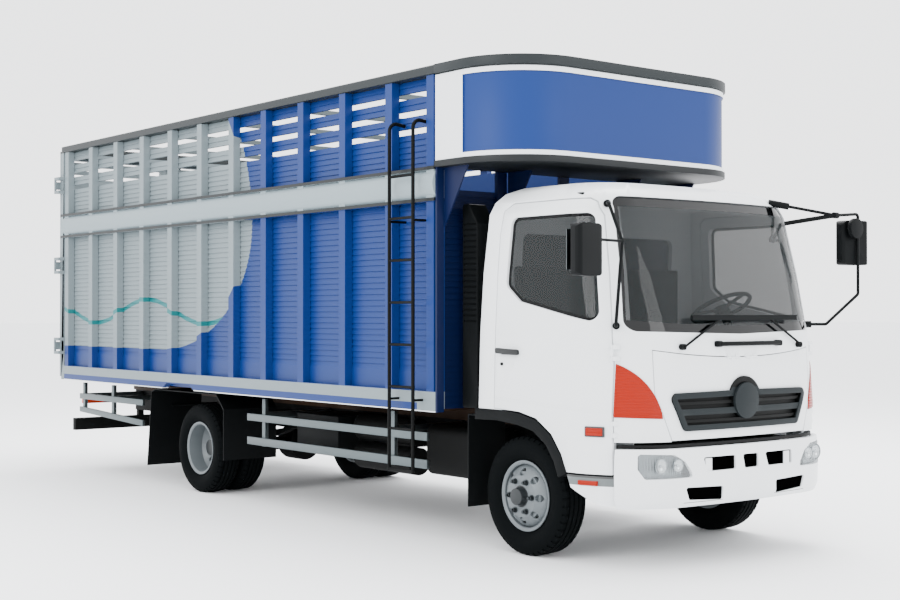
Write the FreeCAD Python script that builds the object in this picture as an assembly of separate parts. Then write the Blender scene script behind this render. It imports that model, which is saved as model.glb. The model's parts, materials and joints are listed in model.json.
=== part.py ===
import FreeCAD, Part
import math
import os
from FreeCAD import Vector

# A medium-duty cab-over truck with a high-sided cargo body, in millimetres.
# It faces -Y, its right side is -X, and it stands on z = 0.
# The drawing has the front axle at y = 0; save() moves it so that the origin is the centre of the ground box.
# Tables whose names end in shares hold shares of the sizes that they follow.

# Whole vehicle
wheelbase = 4350
cab_half_width = 1090
cab_rear_y = 370
cab_front_y = -1048
bumper_front_y = -1100
body_half_width = 1220
body_front_y = 690
body_rear_y = 7065
body_length = body_rear_y - body_front_y
floor_bottom_z = 930
deck_z = 1075
mid_rail_z = 2410
mid_rail_height = 245
top_rail_z = 3300
top_rail_height = 65
body_top_z = top_rail_z + top_rail_height
overrun = 20
seat_gap = 0.3
full_turn = 360

# Wheels and axles
tyre_radius = 400
tyre_width = 235
rim_radius = 237
rim_width = 190
rim_wall = 9
seat_radius = 222
front_wheel_x = 902
rear_outer_x = 972
rear_inner_x = 710
disc_wall = 12
disc_offset = (rear_outer_x - rear_inner_x) / 2
disc_bore = 64
bore_gap = 0.5
drum_radius = 165
kingpin_x = 800
kingpin_radius = 14
spindle_radius = 30
rear_spindle_radius = 38
axle_height = tyre_radius

# Chassis frame
rail_x = 420
rail_flange = 65
rail_wall = 8
rail_top_z = 800
rail_height = 215
rail_bottom_z = rail_top_z - rail_height
rail_front_y = -1000
rail_rear_y = 6960

# Cab
cab_bottom_z = 400
sill_z = 1000
belt_z = 1480
roof_z = 2500
cab_bow = 6000
cab_corner_radius = 510
cab_wall = 60
skin = 14
rebate = 22
door_gap = 8
door_sill_gap = 25
floor_plate = 25
glass_wall = 5
glass_depth = 22

# Door
door_rear_y = 205
door_front_y = -812
door_bottom_z = 610
door_top_z = 2360
door_depth = 270
arch_front_y = -500
arch_top_z = 985
arch_gap = 12

# Lid below the windscreen
lid_top_z = 1336
lid_side_z = 1388
lid_knee_z = 1110
lid_bottom_z = 820
lid_top_half = 770
lid_bottom_half = 655
lid_gap = 6
lid_wall = 30


def box(x0, x1, y0, y1, z0, z1):
    return Part.makeBox(x1 - x0, y1 - y0, z1 - z0, Vector(x0, y0, z0))


def prism(points, along):
    corners = [Vector(*p) for p in points]
    return Part.Face(Part.makePolygon(corners + corners[:1])).extrude(along)


def side_prism(points, x0, x1):
    return prism([(x0, y, z) for y, z in points], Vector(x1 - x0, 0, 0))


def front_prism(points, y0, y1):
    return prism([(x, y0, z) for x, z in points], Vector(0, y1 - y0, 0))


def plan_prism(points, z0, z1):
    return prism([(x, y, z0) for x, y in points], Vector(0, 0, z1 - z0))


def rounded_wire(points, radius):
    """A closed wire through the points, with each corner rounded to the radius or as far as its edges allow."""
    corners = [Vector(*p) for p in points]
    count = len(corners)
    edges = []
    starts = []
    ends = []
    mids = []
    edge_share = 0.488
    for i, corner in enumerate(corners):
        before = corners[i - 1] - corner
        after = corners[(i + 1) % count] - corner
        half = before.getAngle(after) / 2
        reach = min(radius / math.tan(half), before.Length * edge_share, after.Length * edge_share)
        before.normalize()
        after.normalize()
        bisector = (before + after).normalize()
        used = reach * math.tan(half)
        centre_distance = used / math.sin(half)
        starts.append(corner + before * reach)
        ends.append(corner + after * reach)
        mids.append(corner + bisector * (centre_distance - used))
    for i in range(count):
        edges.append(Part.Arc(starts[i], mids[i], ends[i]).toShape())
        edges.append(Part.LineSegment(ends[i], starts[(i + 1) % count]).toShape())
    return Part.Wire(edges)


def rounded_prism(points, radius, along):
    return Part.Face(rounded_wire(points, radius)).extrude(along)


def side_rounded(points, radius, x0, x1):
    return rounded_prism([(x0, y, z) for y, z in points], radius, Vector(x1 - x0, 0, 0))


def front_rounded(points, radius, y0, y1):
    return rounded_prism([(x, y0, z) for x, z in points], radius, Vector(0, y1 - y0, 0))


def plan_rounded(points, radius, z0, z1):
    return rounded_prism([(x, y, z0) for x, y in points], radius, Vector(0, 0, z1 - z0))


def rectangle(a0, a1, b0, b1):
    return [(a0, b0), (a1, b0), (a1, b1), (a0, b1)]


def spots(shares, a0, a1, b0, b1):
    """Turns shares of a rectangle into places."""
    return [(a0 + (a1 - a0) * a, b0 + (b1 - b0) * b) for a, b in shares]


def rod(start, end, radius):
    along = Vector(*end) - Vector(*start)
    return Part.makeCylinder(radius, along.Length, Vector(*start), along)


def tube(points, radius, bend):
    """A round bar along straight runs joined by tangent arcs."""
    corners = [Vector(*p) for p in points]
    edges = []
    last = corners[0]
    for i in range(1, len(corners) - 1):
        before = (corners[i - 1] - corners[i]).normalize()
        after = (corners[i + 1] - corners[i]).normalize()
        half = before.getAngle(after) / 2
        reach = bend / math.tan(half)
        middle = (before + after).normalize() * (bend / math.sin(half) - bend)
        start = corners[i] + before * reach
        end = corners[i] + after * reach
        edges.append(Part.LineSegment(last, start).toShape())
        edges.append(Part.Arc(start, corners[i] + middle, end).toShape())
        last = end
    edges.append(Part.LineSegment(last, corners[-1]).toShape())
    path = Part.Wire(edges)
    disc = Part.Wire([Part.makeCircle(radius, corners[0], corners[1] - corners[0])])
    return path.makePipeShell([disc], True, False)


def revolve_x(points, x, y, z):
    """A solid of revolution about the axis through y, z along X; points are (x offset, radius)."""
    corners = [Vector(x + dx, y, z + r) for dx, r in points]
    face = Part.Face(Part.makePolygon(corners + corners[:1]))
    return face.revolve(Vector(x, y, z), Vector(1, 0, 0), full_turn)


def left(shape):
    """The same piece on the other side of the truck."""
    return shape.mirror(Vector(0, 0, 0), Vector(1, 0, 0))


def pair(shape):
    return [shape, left(shape)]


def join(shapes):
    whole = shapes[0].fuse(shapes[1:]) if len(shapes) > 1 else shapes[0]
    return whole.removeSplitter()


def cut(shape, tools):
    return shape.cut(tools) if tools else shape


# Cab body

# height between two levels, half width, foremost y, rear y and corner radius, each as a share of its size
cab_low_shares = ((0, 0.9945, 1.004, 1, 1), (1, 1, 1, 1, 1))
cab_high_shares = (
    (0, 0.989, 0.971, 0.995, 1), (0.412, 0.968, 0.870, 0.968, 0.863), (0.804, 0.936, 0.759, 0.905, 0.725),
    (0.882, 0.908, 0.716, 0.838, 0.667), (0.941, 0.862, 0.658, 0.703, 0.627),
    (0.980, 0.780, 0.573, 0.459, 0.588), (1, 0.550, 0.420, 0.054, 0.500),
)


def levels_between(shares, z0, z1):
    return [(z0 + (z1 - z0) * up, cab_half_width * half, cab_front_y * front, cab_rear_y * rear,
             cab_corner_radius * corner) for up, half, front, rear, corner in shares]


cab_levels = levels_between(cab_low_shares, cab_bottom_z, sill_z)
cab_levels += levels_between(cab_high_shares, belt_z, roof_z)


def cab_level(z):
    """Half width, foremost y, rear y and corner radius of the cab at height z."""
    above = next(i for i, level in enumerate(cab_levels) if level[0] > z)
    low, high = cab_levels[above - 1], cab_levels[above]
    share = (z - low[0]) / (high[0] - low[0])
    return [a + (b - a) * share for a, b in zip(low[1:], high[1:])]


def corner_start(half, front, corner, bow):
    """Slope of the bowed front where its round corner starts, that place, and the y where the side starts."""
    edge_x = (half - corner) / (1 - corner / bow)
    slope = math.asin(edge_x / bow)
    edge_y = front + bow * (1 - math.cos(slope))
    return slope, edge_x, edge_y, edge_y + corner * math.cos(slope)


def cab_section(z, half, front, rear, corner, inset):
    """One horizontal outline of the cab: bowed front, round front corners, straight sides and rear."""
    half -= inset
    front += inset
    rear -= inset
    radius = corner - inset
    slope, edge_x, edge_y, side_y = corner_start(half, front, radius, cab_bow - inset)
    turn = (math.pi / 2 + slope) / 2
    corner_x = half - radius + radius * math.sin(turn)
    corner_y = side_y - radius * math.cos(turn)
    edges = []
    edges.append(Part.Arc(Vector(-edge_x, edge_y, z), Vector(0, front, z), Vector(edge_x, edge_y, z)).toShape())
    edges.append(Part.Arc(Vector(edge_x, edge_y, z), Vector(corner_x, corner_y, z),
                          Vector(half, side_y, z)).toShape())
    edges.append(Part.LineSegment(Vector(half, side_y, z), Vector(half, rear, z)).toShape())
    edges.append(Part.LineSegment(Vector(half, rear, z), Vector(-half, rear, z)).toShape())
    edges.append(Part.LineSegment(Vector(-half, rear, z), Vector(-half, side_y, z)).toShape())
    edges.append(Part.Arc(Vector(-half, side_y, z), Vector(-corner_x, corner_y, z),
                          Vector(-edge_x, edge_y, z)).toShape())
    return Part.Wire(edges)


def front_spot(x, z, out):
    """The place on the bowed front of the cab, moved out by a distance."""
    front = cab_level(z)[1]
    return Vector(x, front + cab_bow - math.sqrt(cab_bow ** 2 - x ** 2) - out, z)


def corner_spot(z, turn_share, out):
    """The place on the round right corner of the cab at a share of its turn, moved out by a distance."""
    half, front, rear, corner = cab_level(z)
    slope, edge_x, edge_y, side_y = corner_start(half, front, corner, cab_bow)
    turn = slope + (math.pi / 2 - slope) * turn_share
    reach = corner + out
    return Vector(-(half - corner + reach * math.sin(turn)), side_y - reach * math.cos(turn), z)


forms = {}


def cab_form(inset):
    """The cab's outer form, or its inner one when it is inset by a wall."""
    if inset not in forms:
        wires = []
        for z, half, front, rear, corner in cab_levels:
            lowered = inset * max(0, (z - belt_z) / (roof_z - belt_z))
            wires.append(cab_section(z - lowered, half, front, rear, corner, inset))
        forms[inset] = Part.makeLoft(wires, True, True)
    return forms[inset]


def cab_layer(outer, inner):
    """The shell between two insets of the cab's form."""
    return cab_form(outer).cut(cab_form(inner))


arch_shares = ((1, 1), (0.643, 0.960), (0.407, 0.867), (0.200, 0.619), (0.071, 0.299), (0, 0))
door_shares = ((0, 0), (0.007, 0.394), (0.030, 0.535), (0.078, 0.734), (0.148, 0.936), (0.199, 0.987),
               (0.240, 1), (0.900, 1), (0.975, 0.975), (1, 0.880))
arch_points = spots(arch_shares, arch_front_y, door_rear_y, door_bottom_z, arch_top_z)
door_points = arch_points + spots(door_shares, door_front_y, door_rear_y, door_bottom_z, door_top_z)

window_front_y = -722
window_rear_y = 118
window_bottom_z = 1560
window_top_z = 2268
window_corner = 60
window_shares = ((1, 0.35), (0.98, 1), (0.12, 1), (0, 0), (0.83, 0.20))


def door_profile(gap):
    """The door's outline from the side, grown by a gap or shrunk by a negative one."""
    x = -cab_half_width - overrun
    wire = Part.makePolygon([Vector(x, y, z) for y, z in door_points + door_points[:1]])
    if gap:
        wire = wire.makeOffset2D(gap)
    return Part.Face(wire).extrude(Vector(overrun + door_depth, 0, 0))


def window_profile(inset):
    x = -cab_half_width - overrun
    points = [Vector(x, y, z) for y, z in
              spots(window_shares, window_front_y, window_rear_y, window_bottom_z, window_top_z)]
    wire = rounded_wire(points, window_corner)
    if inset:
        wire = wire.makeOffset2D(-inset)
    return Part.Face(wire).extrude(Vector(overrun + door_depth, 0, 0))


door_hinge_inset = 100
door_hinge_x = cab_half_width - door_hinge_inset
door_hinge_back = 1
door_hinge_y = door_front_y + door_hinge_back
door_hinge_radius = 8
door_hinge_heights = (895, 1375)
door_barrel_half = 22
door_hinge_half = 50
door_leaf_width = 45
swing_low_z = 880
swing_high_z = 1460
swing_depth = 70
door_leaf_depth = 30


def door_barrel(low, high, radius):
    return rod((-door_hinge_x, door_hinge_y, low), (-door_hinge_x, door_hinge_y, high), radius)


def door_barrels(z):
    """Heights of the door's barrel at z, and of the shell's two barrels above and below it."""
    inner = door_barrel_half + seat_gap
    return [(z - door_barrel_half, z + door_barrel_half)], [(z - door_hinge_half, z - inner),
                                                            (z + inner, z + door_hinge_half)]


def door_leaf(low, high, depth, gap):
    """The block that a hinge leaf is cut from, or with a gap the room that it needs."""
    y0, y1 = sorted((door_hinge_y, door_hinge_y + depth))
    return box(-door_hinge_x - gap, -door_hinge_x + door_leaf_width, y0 - gap, y1 + gap, low - gap, high + gap)


def door_hinge_parts(spans, depth):
    """Barrels with a leaf on the outer layer behind them, or ahead of them with a negative depth."""
    parts = []
    for low, high in spans:
        leaf = door_leaf(low, high, depth, 0)
        parts += [door_barrel(low, high, door_hinge_radius), leaf.cut(cab_form(skin - seat_gap))]
    return parts


handle_front_y = -50
handle_rear_y = 176
handle_low_z = 1345
handle_height = 38
handle_rise = 8
handle_proud = 22
handle_hold = 30
handle_round = 12
recess_depth = 12
recess_margin = 28


def cab_door():
    door_skin = skin - seat_gap
    outer = cab_layer(0, door_skin).common(door_profile(0))
    inner = cab_layer(door_skin, cab_wall).common(door_profile(-rebate))
    door = join([outer, inner])
    tools = [window_profile(0)]
    added = []
    for z in door_hinge_heights:
        own, others = door_barrels(z)
        added += door_hinge_parts(own, door_leaf_depth)
        tools += [door_barrel(low, high, door_hinge_radius + seat_gap) for low, high in others]
    tools.append(box(-cab_half_width - overrun, -cab_half_width + recess_depth, handle_front_y + recess_margin,
                     handle_rear_y - recess_margin, handle_low_z, handle_low_z + handle_height))
    high = handle_low_z + handle_height
    handle = side_rounded([(handle_front_y, handle_low_z), (handle_rear_y, handle_low_z + handle_rise),
                           (handle_rear_y, high + handle_rise), (handle_front_y, high)], handle_round,
                          -cab_half_width - handle_proud, -cab_half_width + handle_hold)
    return join([cut(door, tools), handle] + added)


def door_glass():
    return cab_layer(glass_depth, glass_depth + glass_wall).common(window_profile(seat_gap))


screen_half = 918
screen_bottom_z = 1488
screen_top_z = 2378
screen_corner = 70
screen_depth = 600
screen_flange = 45
screen_shares = ((-1, 0.025), (-0.926, 1), (0.926, 1), (1, 0.025), (0, 0))


def windscreen_profile(inset):
    y = cab_front_y - overrun
    points = [Vector(x, y, z) for x, z in spots(screen_shares, 0, screen_half, screen_bottom_z, screen_top_z)]
    wire = rounded_wire(points, screen_corner)
    if inset:
        wire = wire.makeOffset2D(-inset)
    return Part.Face(wire).extrude(Vector(0, screen_depth, 0))


def lid_profile(gap):
    """The service lid's outline from the front: its top edge sags to the middle in one arc."""
    y = cab_front_y - overrun
    side = lid_top_half + gap
    low = lid_bottom_half + gap
    right_top = Vector(-side, y, lid_side_z + gap)
    left_top = Vector(side, y, lid_side_z + gap)
    edges = [Part.Arc(right_top, Vector(0, y, lid_top_z + gap), left_top).toShape()]
    rest = [left_top, Vector(side, y, lid_knee_z), Vector(low, y, lid_bottom_z - gap),
            Vector(-low, y, lid_bottom_z - gap), Vector(-side, y, lid_knee_z), right_top]
    edges += [Part.LineSegment(rest[i], rest[i + 1]).toShape() for i in range(len(rest) - 1)]
    return Part.Face(Part.Wire(edges)).extrude(Vector(0, cab_corner_radius, 0))


lamp_top_z = 1312
lamp_outer_z = 976
lamp_tip_x = 727
lamp_tip_z = 960
lamp_top_x = 973
lamp_middle_x = 860
lamp_middle_z = 1225
lamp_depth = 40
turn_lamp_proud = 6


def lamp_profile():
    y = cab_front_y - overrun
    reach = -cab_half_width - overrun
    top = Vector(-lamp_top_x, y, lamp_top_z)
    tip = Vector(-lamp_tip_x, y, lamp_tip_z)
    outer = Vector(reach, y, lamp_top_z)
    low = Vector(reach, y, lamp_outer_z)
    edges = [
        Part.LineSegment(outer, top).toShape(),
        Part.Arc(top, Vector(-lamp_middle_x, y, lamp_middle_z), tip).toShape(),
        Part.LineSegment(tip, low).toShape(),
        Part.LineSegment(low, outer).toShape(),
    ]
    return Part.Face(Part.Wire(edges)).extrude(Vector(0, door_front_y - door_gap - y, 0))


lid_hinge_z = lid_top_z
lid_hinge_radius = 7
lid_hinge_proud = 1.5
lid_hinge_y = front_spot(0, lid_hinge_z, lid_hinge_proud).y
lid_hinge_x = 90
lid_barrel_half = 20
lid_hinge_half = 60
lid_leaf_proud = 2
lid_leaf_depth = 22
lid_leaf_gap = 4.5
lid_leaf_height = 15
lid_barrel = (-lid_hinge_x - lid_barrel_half, -lid_hinge_x + lid_barrel_half)
shell_barrels = ((-lid_hinge_x - lid_hinge_half, lid_barrel[0] - seat_gap),
                 (lid_barrel[1] + seat_gap, -lid_hinge_x + lid_hinge_half))


def lid_axis_rod(x0, x1, radius):
    return rod((x0, lid_hinge_y, lid_hinge_z), (x1, lid_hinge_y, lid_hinge_z), radius)


def knuckle_tools(spans):
    """Room for the other side's hinge barrels."""
    tools = []
    for x0, x1 in spans:
        tools += pair(lid_axis_rod(x0, x1, lid_hinge_radius + seat_gap))
    return tools


def lid_knuckle(span, low, high):
    """One barrel of the lid's hinge with its leaf on the panel behind it."""
    x0, x1 = span
    leaf = box(x0, x1, lid_hinge_y - lid_leaf_proud, lid_hinge_y + lid_leaf_depth, low, high)
    return pair(join([lid_axis_rod(x0, x1, lid_hinge_radius), leaf]))


rear_window_half = 290
rear_window_x = 470
rear_window_low_z = 1720
rear_window_high_z = 2180
rear_window_y = 200


def rear_windows():
    holes = []
    for x in (-rear_window_x, rear_window_x):
        outline = rectangle(x - rear_window_half, x + rear_window_half, rear_window_low_z, rear_window_high_z)
        holes.append(front_rounded(outline, window_corner, rear_window_y, cab_rear_y + overrun))
    return holes


def cab_shell():
    """Roof, pillars, rear wall and cowl; the inner layer is a rebate for the doors and a flange for the glass."""
    outer = cut(cab_layer(0, skin), [windscreen_profile(0)] + pair(door_profile(door_gap)))
    inner = cut(cab_layer(skin, cab_wall),
                [windscreen_profile(screen_flange)] + pair(door_profile(door_gap - rebate)))
    # below the sill only the corners in front of the doors stay, and behind the arch nothing
    low = cab_bottom_z - overrun
    wide = cab_half_width + overrun
    tools = [
        box(-wide, wide, door_front_y - door_gap, cab_rear_y + overrun, low, arch_top_z - arch_gap),
        box(-wide, wide, cab_front_y - overrun, door_front_y, low, lid_bottom_z - lid_gap),
        lid_profile(lid_gap),
    ]
    # beside the hinges the rebate stops short, so that the opening door's front edge can turn behind the skin
    tools += pair(door_profile(door_gap).common(box(-wide, wide, door_front_y - overrun, door_front_y + swing_depth,
                                                    swing_low_z, swing_high_z)))
    tools += pair(cab_layer(-overrun, lamp_depth).common(lamp_profile()))
    tools += rear_windows() + knuckle_tools([lid_barrel])
    added = []
    for span in shell_barrels:
        added += lid_knuckle(span, lid_hinge_z + lid_leaf_gap, lid_hinge_z + lid_leaf_gap + lid_leaf_height)
    for z in door_hinge_heights:
        others, own = door_barrels(z)
        for part in door_hinge_parts(own, -door_leaf_depth):
            added += pair(part)
        for span_low, span_high in others:
            tools += pair(door_barrel(span_low, span_high, door_hinge_radius + seat_gap))
            tools += pair(door_leaf(span_low, span_high, door_leaf_depth, seat_gap))
    return join([cut(join([outer, inner]), tools)] + added)


def rear_glass():
    return [cab_layer(glass_depth, glass_depth + glass_wall).common(hole) for hole in rear_windows()]


def windscreen():
    return cab_layer(skin - seat_gap - glass_wall, skin - seat_gap).common(windscreen_profile(seat_gap))


grille_top_half = 684
grille_bottom_half = 566
grille_top_z = 1125
grille_side_drop = 8
grille_bottom_z = 875
grille_corner = 40
grille_border = 38
grille_proud = 14
grille_back = 24
grille_depth = 200
badge_z = 1053
badge_radius = 118
badge_bump = 42
badge_proud = 22
badge_depth = 60
# lower edge, upper edge (shares of the grille's height) and stand-out of each bar (share of the grille's)
bar_shares = ((0.02, 0.12, 0.1), (0.20, 0.28, -0.3), (0.40, 0.56, 0.7), (0.66, 0.74, -0.3), (0.84, 0.94, -0.3))


def grille_profile(inset):
    y = cab_front_y - overrun
    side_z = grille_top_z - grille_side_drop
    points = [(-grille_top_half, side_z), (0, grille_top_z), (grille_top_half, side_z),
              (grille_bottom_half, grille_bottom_z), (-grille_bottom_half, grille_bottom_z)]
    wire = rounded_wire([Vector(x, y, z) for x, z in points], grille_corner)
    if inset:
        wire = wire.makeOffset2D(-inset)
    plate = Part.Face(wire).extrude(Vector(0, grille_depth, 0))
    reach = badge_radius + badge_bump
    bump = Part.makeCylinder(reach - inset, grille_depth, Vector(0, y, badge_z), Vector(0, 1, 0))
    return plate.fuse(bump.common(box(-reach, reach, y, y + grille_depth, badge_z, badge_z + reach)))


def grille():
    opening = grille_profile(grille_border)
    frame = cab_layer(-grille_proud, lid_wall).common(grille_profile(seat_gap)).cut(opening)
    y = cab_front_y - overrun
    height = grille_top_z - grille_bottom_z
    bars = []
    for low, high, out in bar_shares:
        strip = box(-grille_top_half, grille_top_half, y, y + grille_depth, grille_bottom_z + height * low,
                    grille_bottom_z + height * high)
        bars.append(cab_layer(-grille_proud * out, lid_wall).common(strip).common(opening))
    back = cab_layer(grille_back, lid_wall).common(opening)
    disc = Part.makeCylinder(badge_radius, badge_depth, Vector(0, cab_front_y - badge_proud, badge_z),
                             Vector(0, 1, 0))
    return join([frame, back, disc] + bars)


def service_lid():
    lid = cab_layer(0, lid_wall).common(lid_profile(0))
    lid = cut(lid, [grille_profile(0)] + knuckle_tools(shell_barrels))
    high = lid_hinge_z - lid_leaf_gap
    return join([lid] + lid_knuckle(lid_barrel, high - lid_leaf_height, high))


# Bumper
bumper_bottom_z = 400
bumper_top_z = 772
bumper_wall = 40
bumper_end_gap = 28
bumper_set_in = 4
bumper_half_width = cab_half_width - bumper_set_in
# height and stand-out of the bumper's levels
bumper_shares = ((0, 0.46), (0.13, 0.90), (0.47, 1), (0.63, 1), (0.87, 0.92), (1, 0.77))
headlamp_outer_x = 905
headlamp_inner_x = 535
headlamp_low_z = 586
headlamp_high_z = 745
headlamp_corner = 22
headlamp_shares = ((0.01, 1), (0.61, 0.94), (0.83, 0.66), (0.97, 0.24), (1, 0.02), (0.10, 0), (0, 0.40))
headlamp_set_back = 4
headlamp_depth = 70
slot_low_z = 618
slot_high_z = 708
slot_middle_half = 76
slot_inner_x = 149
slot_outer_x = 442
slot_corner = 14
slot_shares = ((0, 1), (1, 1), (1, 0), (0.10, 0))
slot_depth = 300
fog_outer_x = 595
fog_inner_x = 264
fog_low_z = 430
fog_high_z = 526
fog_shares = ((0, 1), (1, 0.90), (0.98, 0), (0.10, 0.16))
bracket_width = 60
bracket_low_z = 610
bracket_high_z = 700


def bumper_form(inset):
    proud = cab_front_y - bumper_front_y
    beyond = overrun if inset else 0
    wires = []
    for up, out in bumper_shares:
        z = bumper_bottom_z - beyond + (bumper_top_z - bumper_bottom_z + 2 * beyond) * up
        wires.append(cab_section(z, bumper_half_width, cab_front_y - proud * out, cab_rear_y,
                                 cab_corner_radius, inset))
    return Part.makeLoft(wires, True, True)


def headlamp_profile(inset):
    y = bumper_front_y - overrun
    points = spots(headlamp_shares, -headlamp_outer_x, -headlamp_inner_x, headlamp_low_z, headlamp_high_z)
    wire = rounded_wire([Vector(x, y, z) for x, z in points], headlamp_corner)
    if inset:
        wire = wire.makeOffset2D(-inset)
    return Part.Face(wire).extrude(Vector(0, door_front_y - bumper_end_gap - y, 0))


def bumper():
    shell = bumper_form(0).cut(bumper_form(bumper_wall))
    wide = cab_half_width + overrun
    y = bumper_front_y - overrun
    tools = [box(-wide, wide, door_front_y - bumper_end_gap, cab_rear_y + overrun, 0, bumper_top_z + overrun)]
    tools += pair(headlamp_profile(0))
    for x0, x1 in ((-slot_outer_x, -slot_inner_x), (-slot_middle_half, slot_middle_half), (slot_inner_x, slot_outer_x)):
        points = spots(slot_shares, x0, x1, slot_low_z, slot_high_z)
        tools.append(front_rounded(points, slot_corner, y, y + slot_depth))
    fog = front_rounded(spots(fog_shares, -fog_outer_x, -fog_inner_x, fog_low_z, fog_high_z), slot_corner, y,
                        y + slot_depth)
    tools += pair(fog)
    brackets = pair(box(-rail_x, -rail_x + bracket_width, bumper_front_y + bumper_wall / 2, rail_front_y, bracket_low_z,
                        bracket_high_z))
    return join([cut(shell, tools)] + brackets)


def headlamps():
    deep = bumper_form(headlamp_depth)
    return pair(bumper_form(headlamp_set_back).cut(deep).common(headlamp_profile(seat_gap)))


def turn_lamps():
    return pair(cab_layer(-turn_lamp_proud, lamp_depth - seat_gap).common(lamp_profile()))


step_gap = 14
step_wall = 45
step_front_y = door_front_y - bumper_end_gap / 2
step_shares = ((1, 1), (0.893, 0.56), (0.256, 0), (0, 0), (0, 1))
tread_inset = 40
tread_wall = 20
tread_inner_x = 760
low_tread_rear_y = -744
high_tread_rear_y = -545
high_tread_z = 562
step_back_wall = 10
step_back_high_z = 970


def cab_step():
    """The panel below the door with its two treads."""
    x = -cab_half_width - overrun
    low_z = cab_bottom_z + step_gap
    points = spots(step_shares, step_front_y, arch_front_y, low_z, door_bottom_z - arch_gap)
    panel = cab_layer(0, step_wall).common(side_prism(points, x, x + door_depth))
    y0 = step_front_y + step_wall
    outer = -cab_half_width + tread_inset
    low = box(outer, -tread_inner_x, y0, low_tread_rear_y, low_z, low_z + tread_wall)
    high = box(outer, -tread_inner_x, y0, high_tread_rear_y, high_tread_z, high_tread_z + tread_wall)
    back = box(-tread_inner_x - step_back_wall, -tread_inner_x, y0, high_tread_rear_y, low_z, step_back_high_z)
    inside = cab_form(step_wall / 2)
    return join([panel] + [piece.common(inside) for piece in (low, high, back)])


bulkhead_front_y = -805
bulkhead_wall = 25
bulkhead_high_z = 1280
hump_low_half = 430
hump_high_half = 360
hump_height = 270


def cab_floor():
    """Floor with the engine hump, and the bulkhead under the dashboard; beside the doors it stops short of them."""
    half = cab_half_width - cab_wall
    z = sill_z
    low = z - floor_plate
    top = z + hump_height
    outer = [(-half, low), (-half, z), (-hump_low_half, z), (-hump_high_half, top), (hump_high_half, top),
             (hump_low_half, z), (half, z), (half, low), (hump_low_half - floor_plate, low),
             (hump_high_half - floor_plate, top - floor_plate), (floor_plate - hump_high_half, top - floor_plate),
             (floor_plate - hump_low_half, low)]
    plate = front_prism(outer, bulkhead_front_y, cab_rear_y)
    bulkhead = box(-half, half, bulkhead_front_y, bulkhead_front_y + bulkhead_wall, low, bulkhead_high_z)
    whole = join([plate, bulkhead])
    split = door_rear_y + door_gap
    ahead = box(-half, half, bulkhead_front_y, split, low, bulkhead_high_z)
    behind = box(-half, half, split, cab_rear_y, low, bulkhead_high_z)
    return join([whole.common(ahead).common(cab_form(cab_wall + door_sill_gap)),
                 whole.common(behind).common(cab_form(cab_wall + seat_gap))])


dash_half = 950
dash_front_y = -905
dash_rear_y = -520
dash_high_z = 1490
dash_round = 18
dash_foot = 10
dash_shares = ((0.274, 0.667), (0, 0.762), (0, 0.905), (0.532, 1), (0.896, 0.833), (1, 0.524), (0.896, 0.095), (0.688, 0))


def dashboard():
    """The moulded dashboard, seated on the bulkhead."""
    points = [(bulkhead_front_y, bulkhead_high_z), (bulkhead_front_y, bulkhead_high_z + dash_foot)]
    points += spots(dash_shares, dash_front_y, dash_rear_y, bulkhead_high_z, dash_high_z)
    return side_rounded(points, dash_round, -dash_half, dash_half).common(cab_form(cab_wall + door_sill_gap))


wheel_rim_radius = 215
wheel_rim_wall = 15
wheel_hub_radius = 55
wheel_hub_height = 40
wheel_hub_top = 5
spoke_width = 34
spoke_wall = 12
spoke_low = 16
spoke_turns = (20, 160, 270)
column_radius = 28
column_length = 350
wheel_tilt = 28
wheel_place = Vector(500, -420, 1660)


def steering_wheel():
    """Rim, three spokes and column, tilted towards the driver."""
    parts = [Part.makeTorus(wheel_rim_radius, wheel_rim_wall),
             Part.makeCylinder(wheel_hub_radius, wheel_hub_height, Vector(0, 0, wheel_hub_top - wheel_hub_height))]
    for angle in spoke_turns:
        spoke = box(wheel_hub_radius / 2, wheel_rim_radius, -spoke_width / 2, spoke_width / 2, -spoke_low,
                    spoke_wall - spoke_low)
        spoke.rotate(Vector(0, 0, 0), Vector(0, 0, 1), angle)
        parts.append(spoke)
    parts.append(Part.makeCylinder(column_radius, column_length, Vector(0, 0, -column_length)))
    wheel = join(parts)
    wheel.rotate(Vector(0, 0, 0), Vector(1, 0, 0), -wheel_tilt)
    wheel.translate(wheel_place)
    return max(cut(wheel, [dashboard()]).Solids, key=lambda solid: solid.Volume)


seat_base_height = 285
seat_base_front_y = -230
seat_base_rear_y = 200
cushion_front_y = -300
cushion_rear_y = 215
cushion_height = 110
cushion_rise = 25
cushion_round = 35
backrest_wall = 75
backrest_high_z = 1960
backrest_start = 20
backrest_lean = 10
backrest_round = 18
driver_cushion = (250, 780)
driver_base = (470, 740)
passenger_cushion = (-860, -60)
passenger_base = (-820, -470)


def seat(cushion_span, base_span):
    """A seat as closed solids: base box, cushion and back."""
    top = sill_z + seat_base_height
    x0, x1 = cushion_span
    base = box(base_span[0], base_span[1], seat_base_front_y, seat_base_rear_y, sill_z + seat_gap, top)
    high = top + cushion_height
    cushion = side_rounded([(cushion_front_y, top + seat_gap), (cushion_rear_y, top + seat_gap), (cushion_rear_y, high),
                            (cushion_front_y, high + cushion_rise)], cushion_round, x0, x1)
    front = cushion_rear_y + seat_gap
    rear = cushion_rear_y + backrest_wall
    low = top + backrest_start
    back = side_rounded([(front, low), (rear, low), (rear - backrest_lean / 2, backrest_high_z),
                         (front + backrest_lean, backrest_high_z)], backrest_round, x0, x1)
    return base, cushion, back


# Cargo body

side_wall = 92
panel_set_in = 62
side_wall_inner = body_half_width - side_wall
panel_face = body_half_width - panel_set_in
rib_pitch = 43
rib_depth = 9
lower_rows = 28
lower_start = mid_rail_z - lower_rows * rib_pitch
upper_start = mid_rail_z + mid_rail_height
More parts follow.
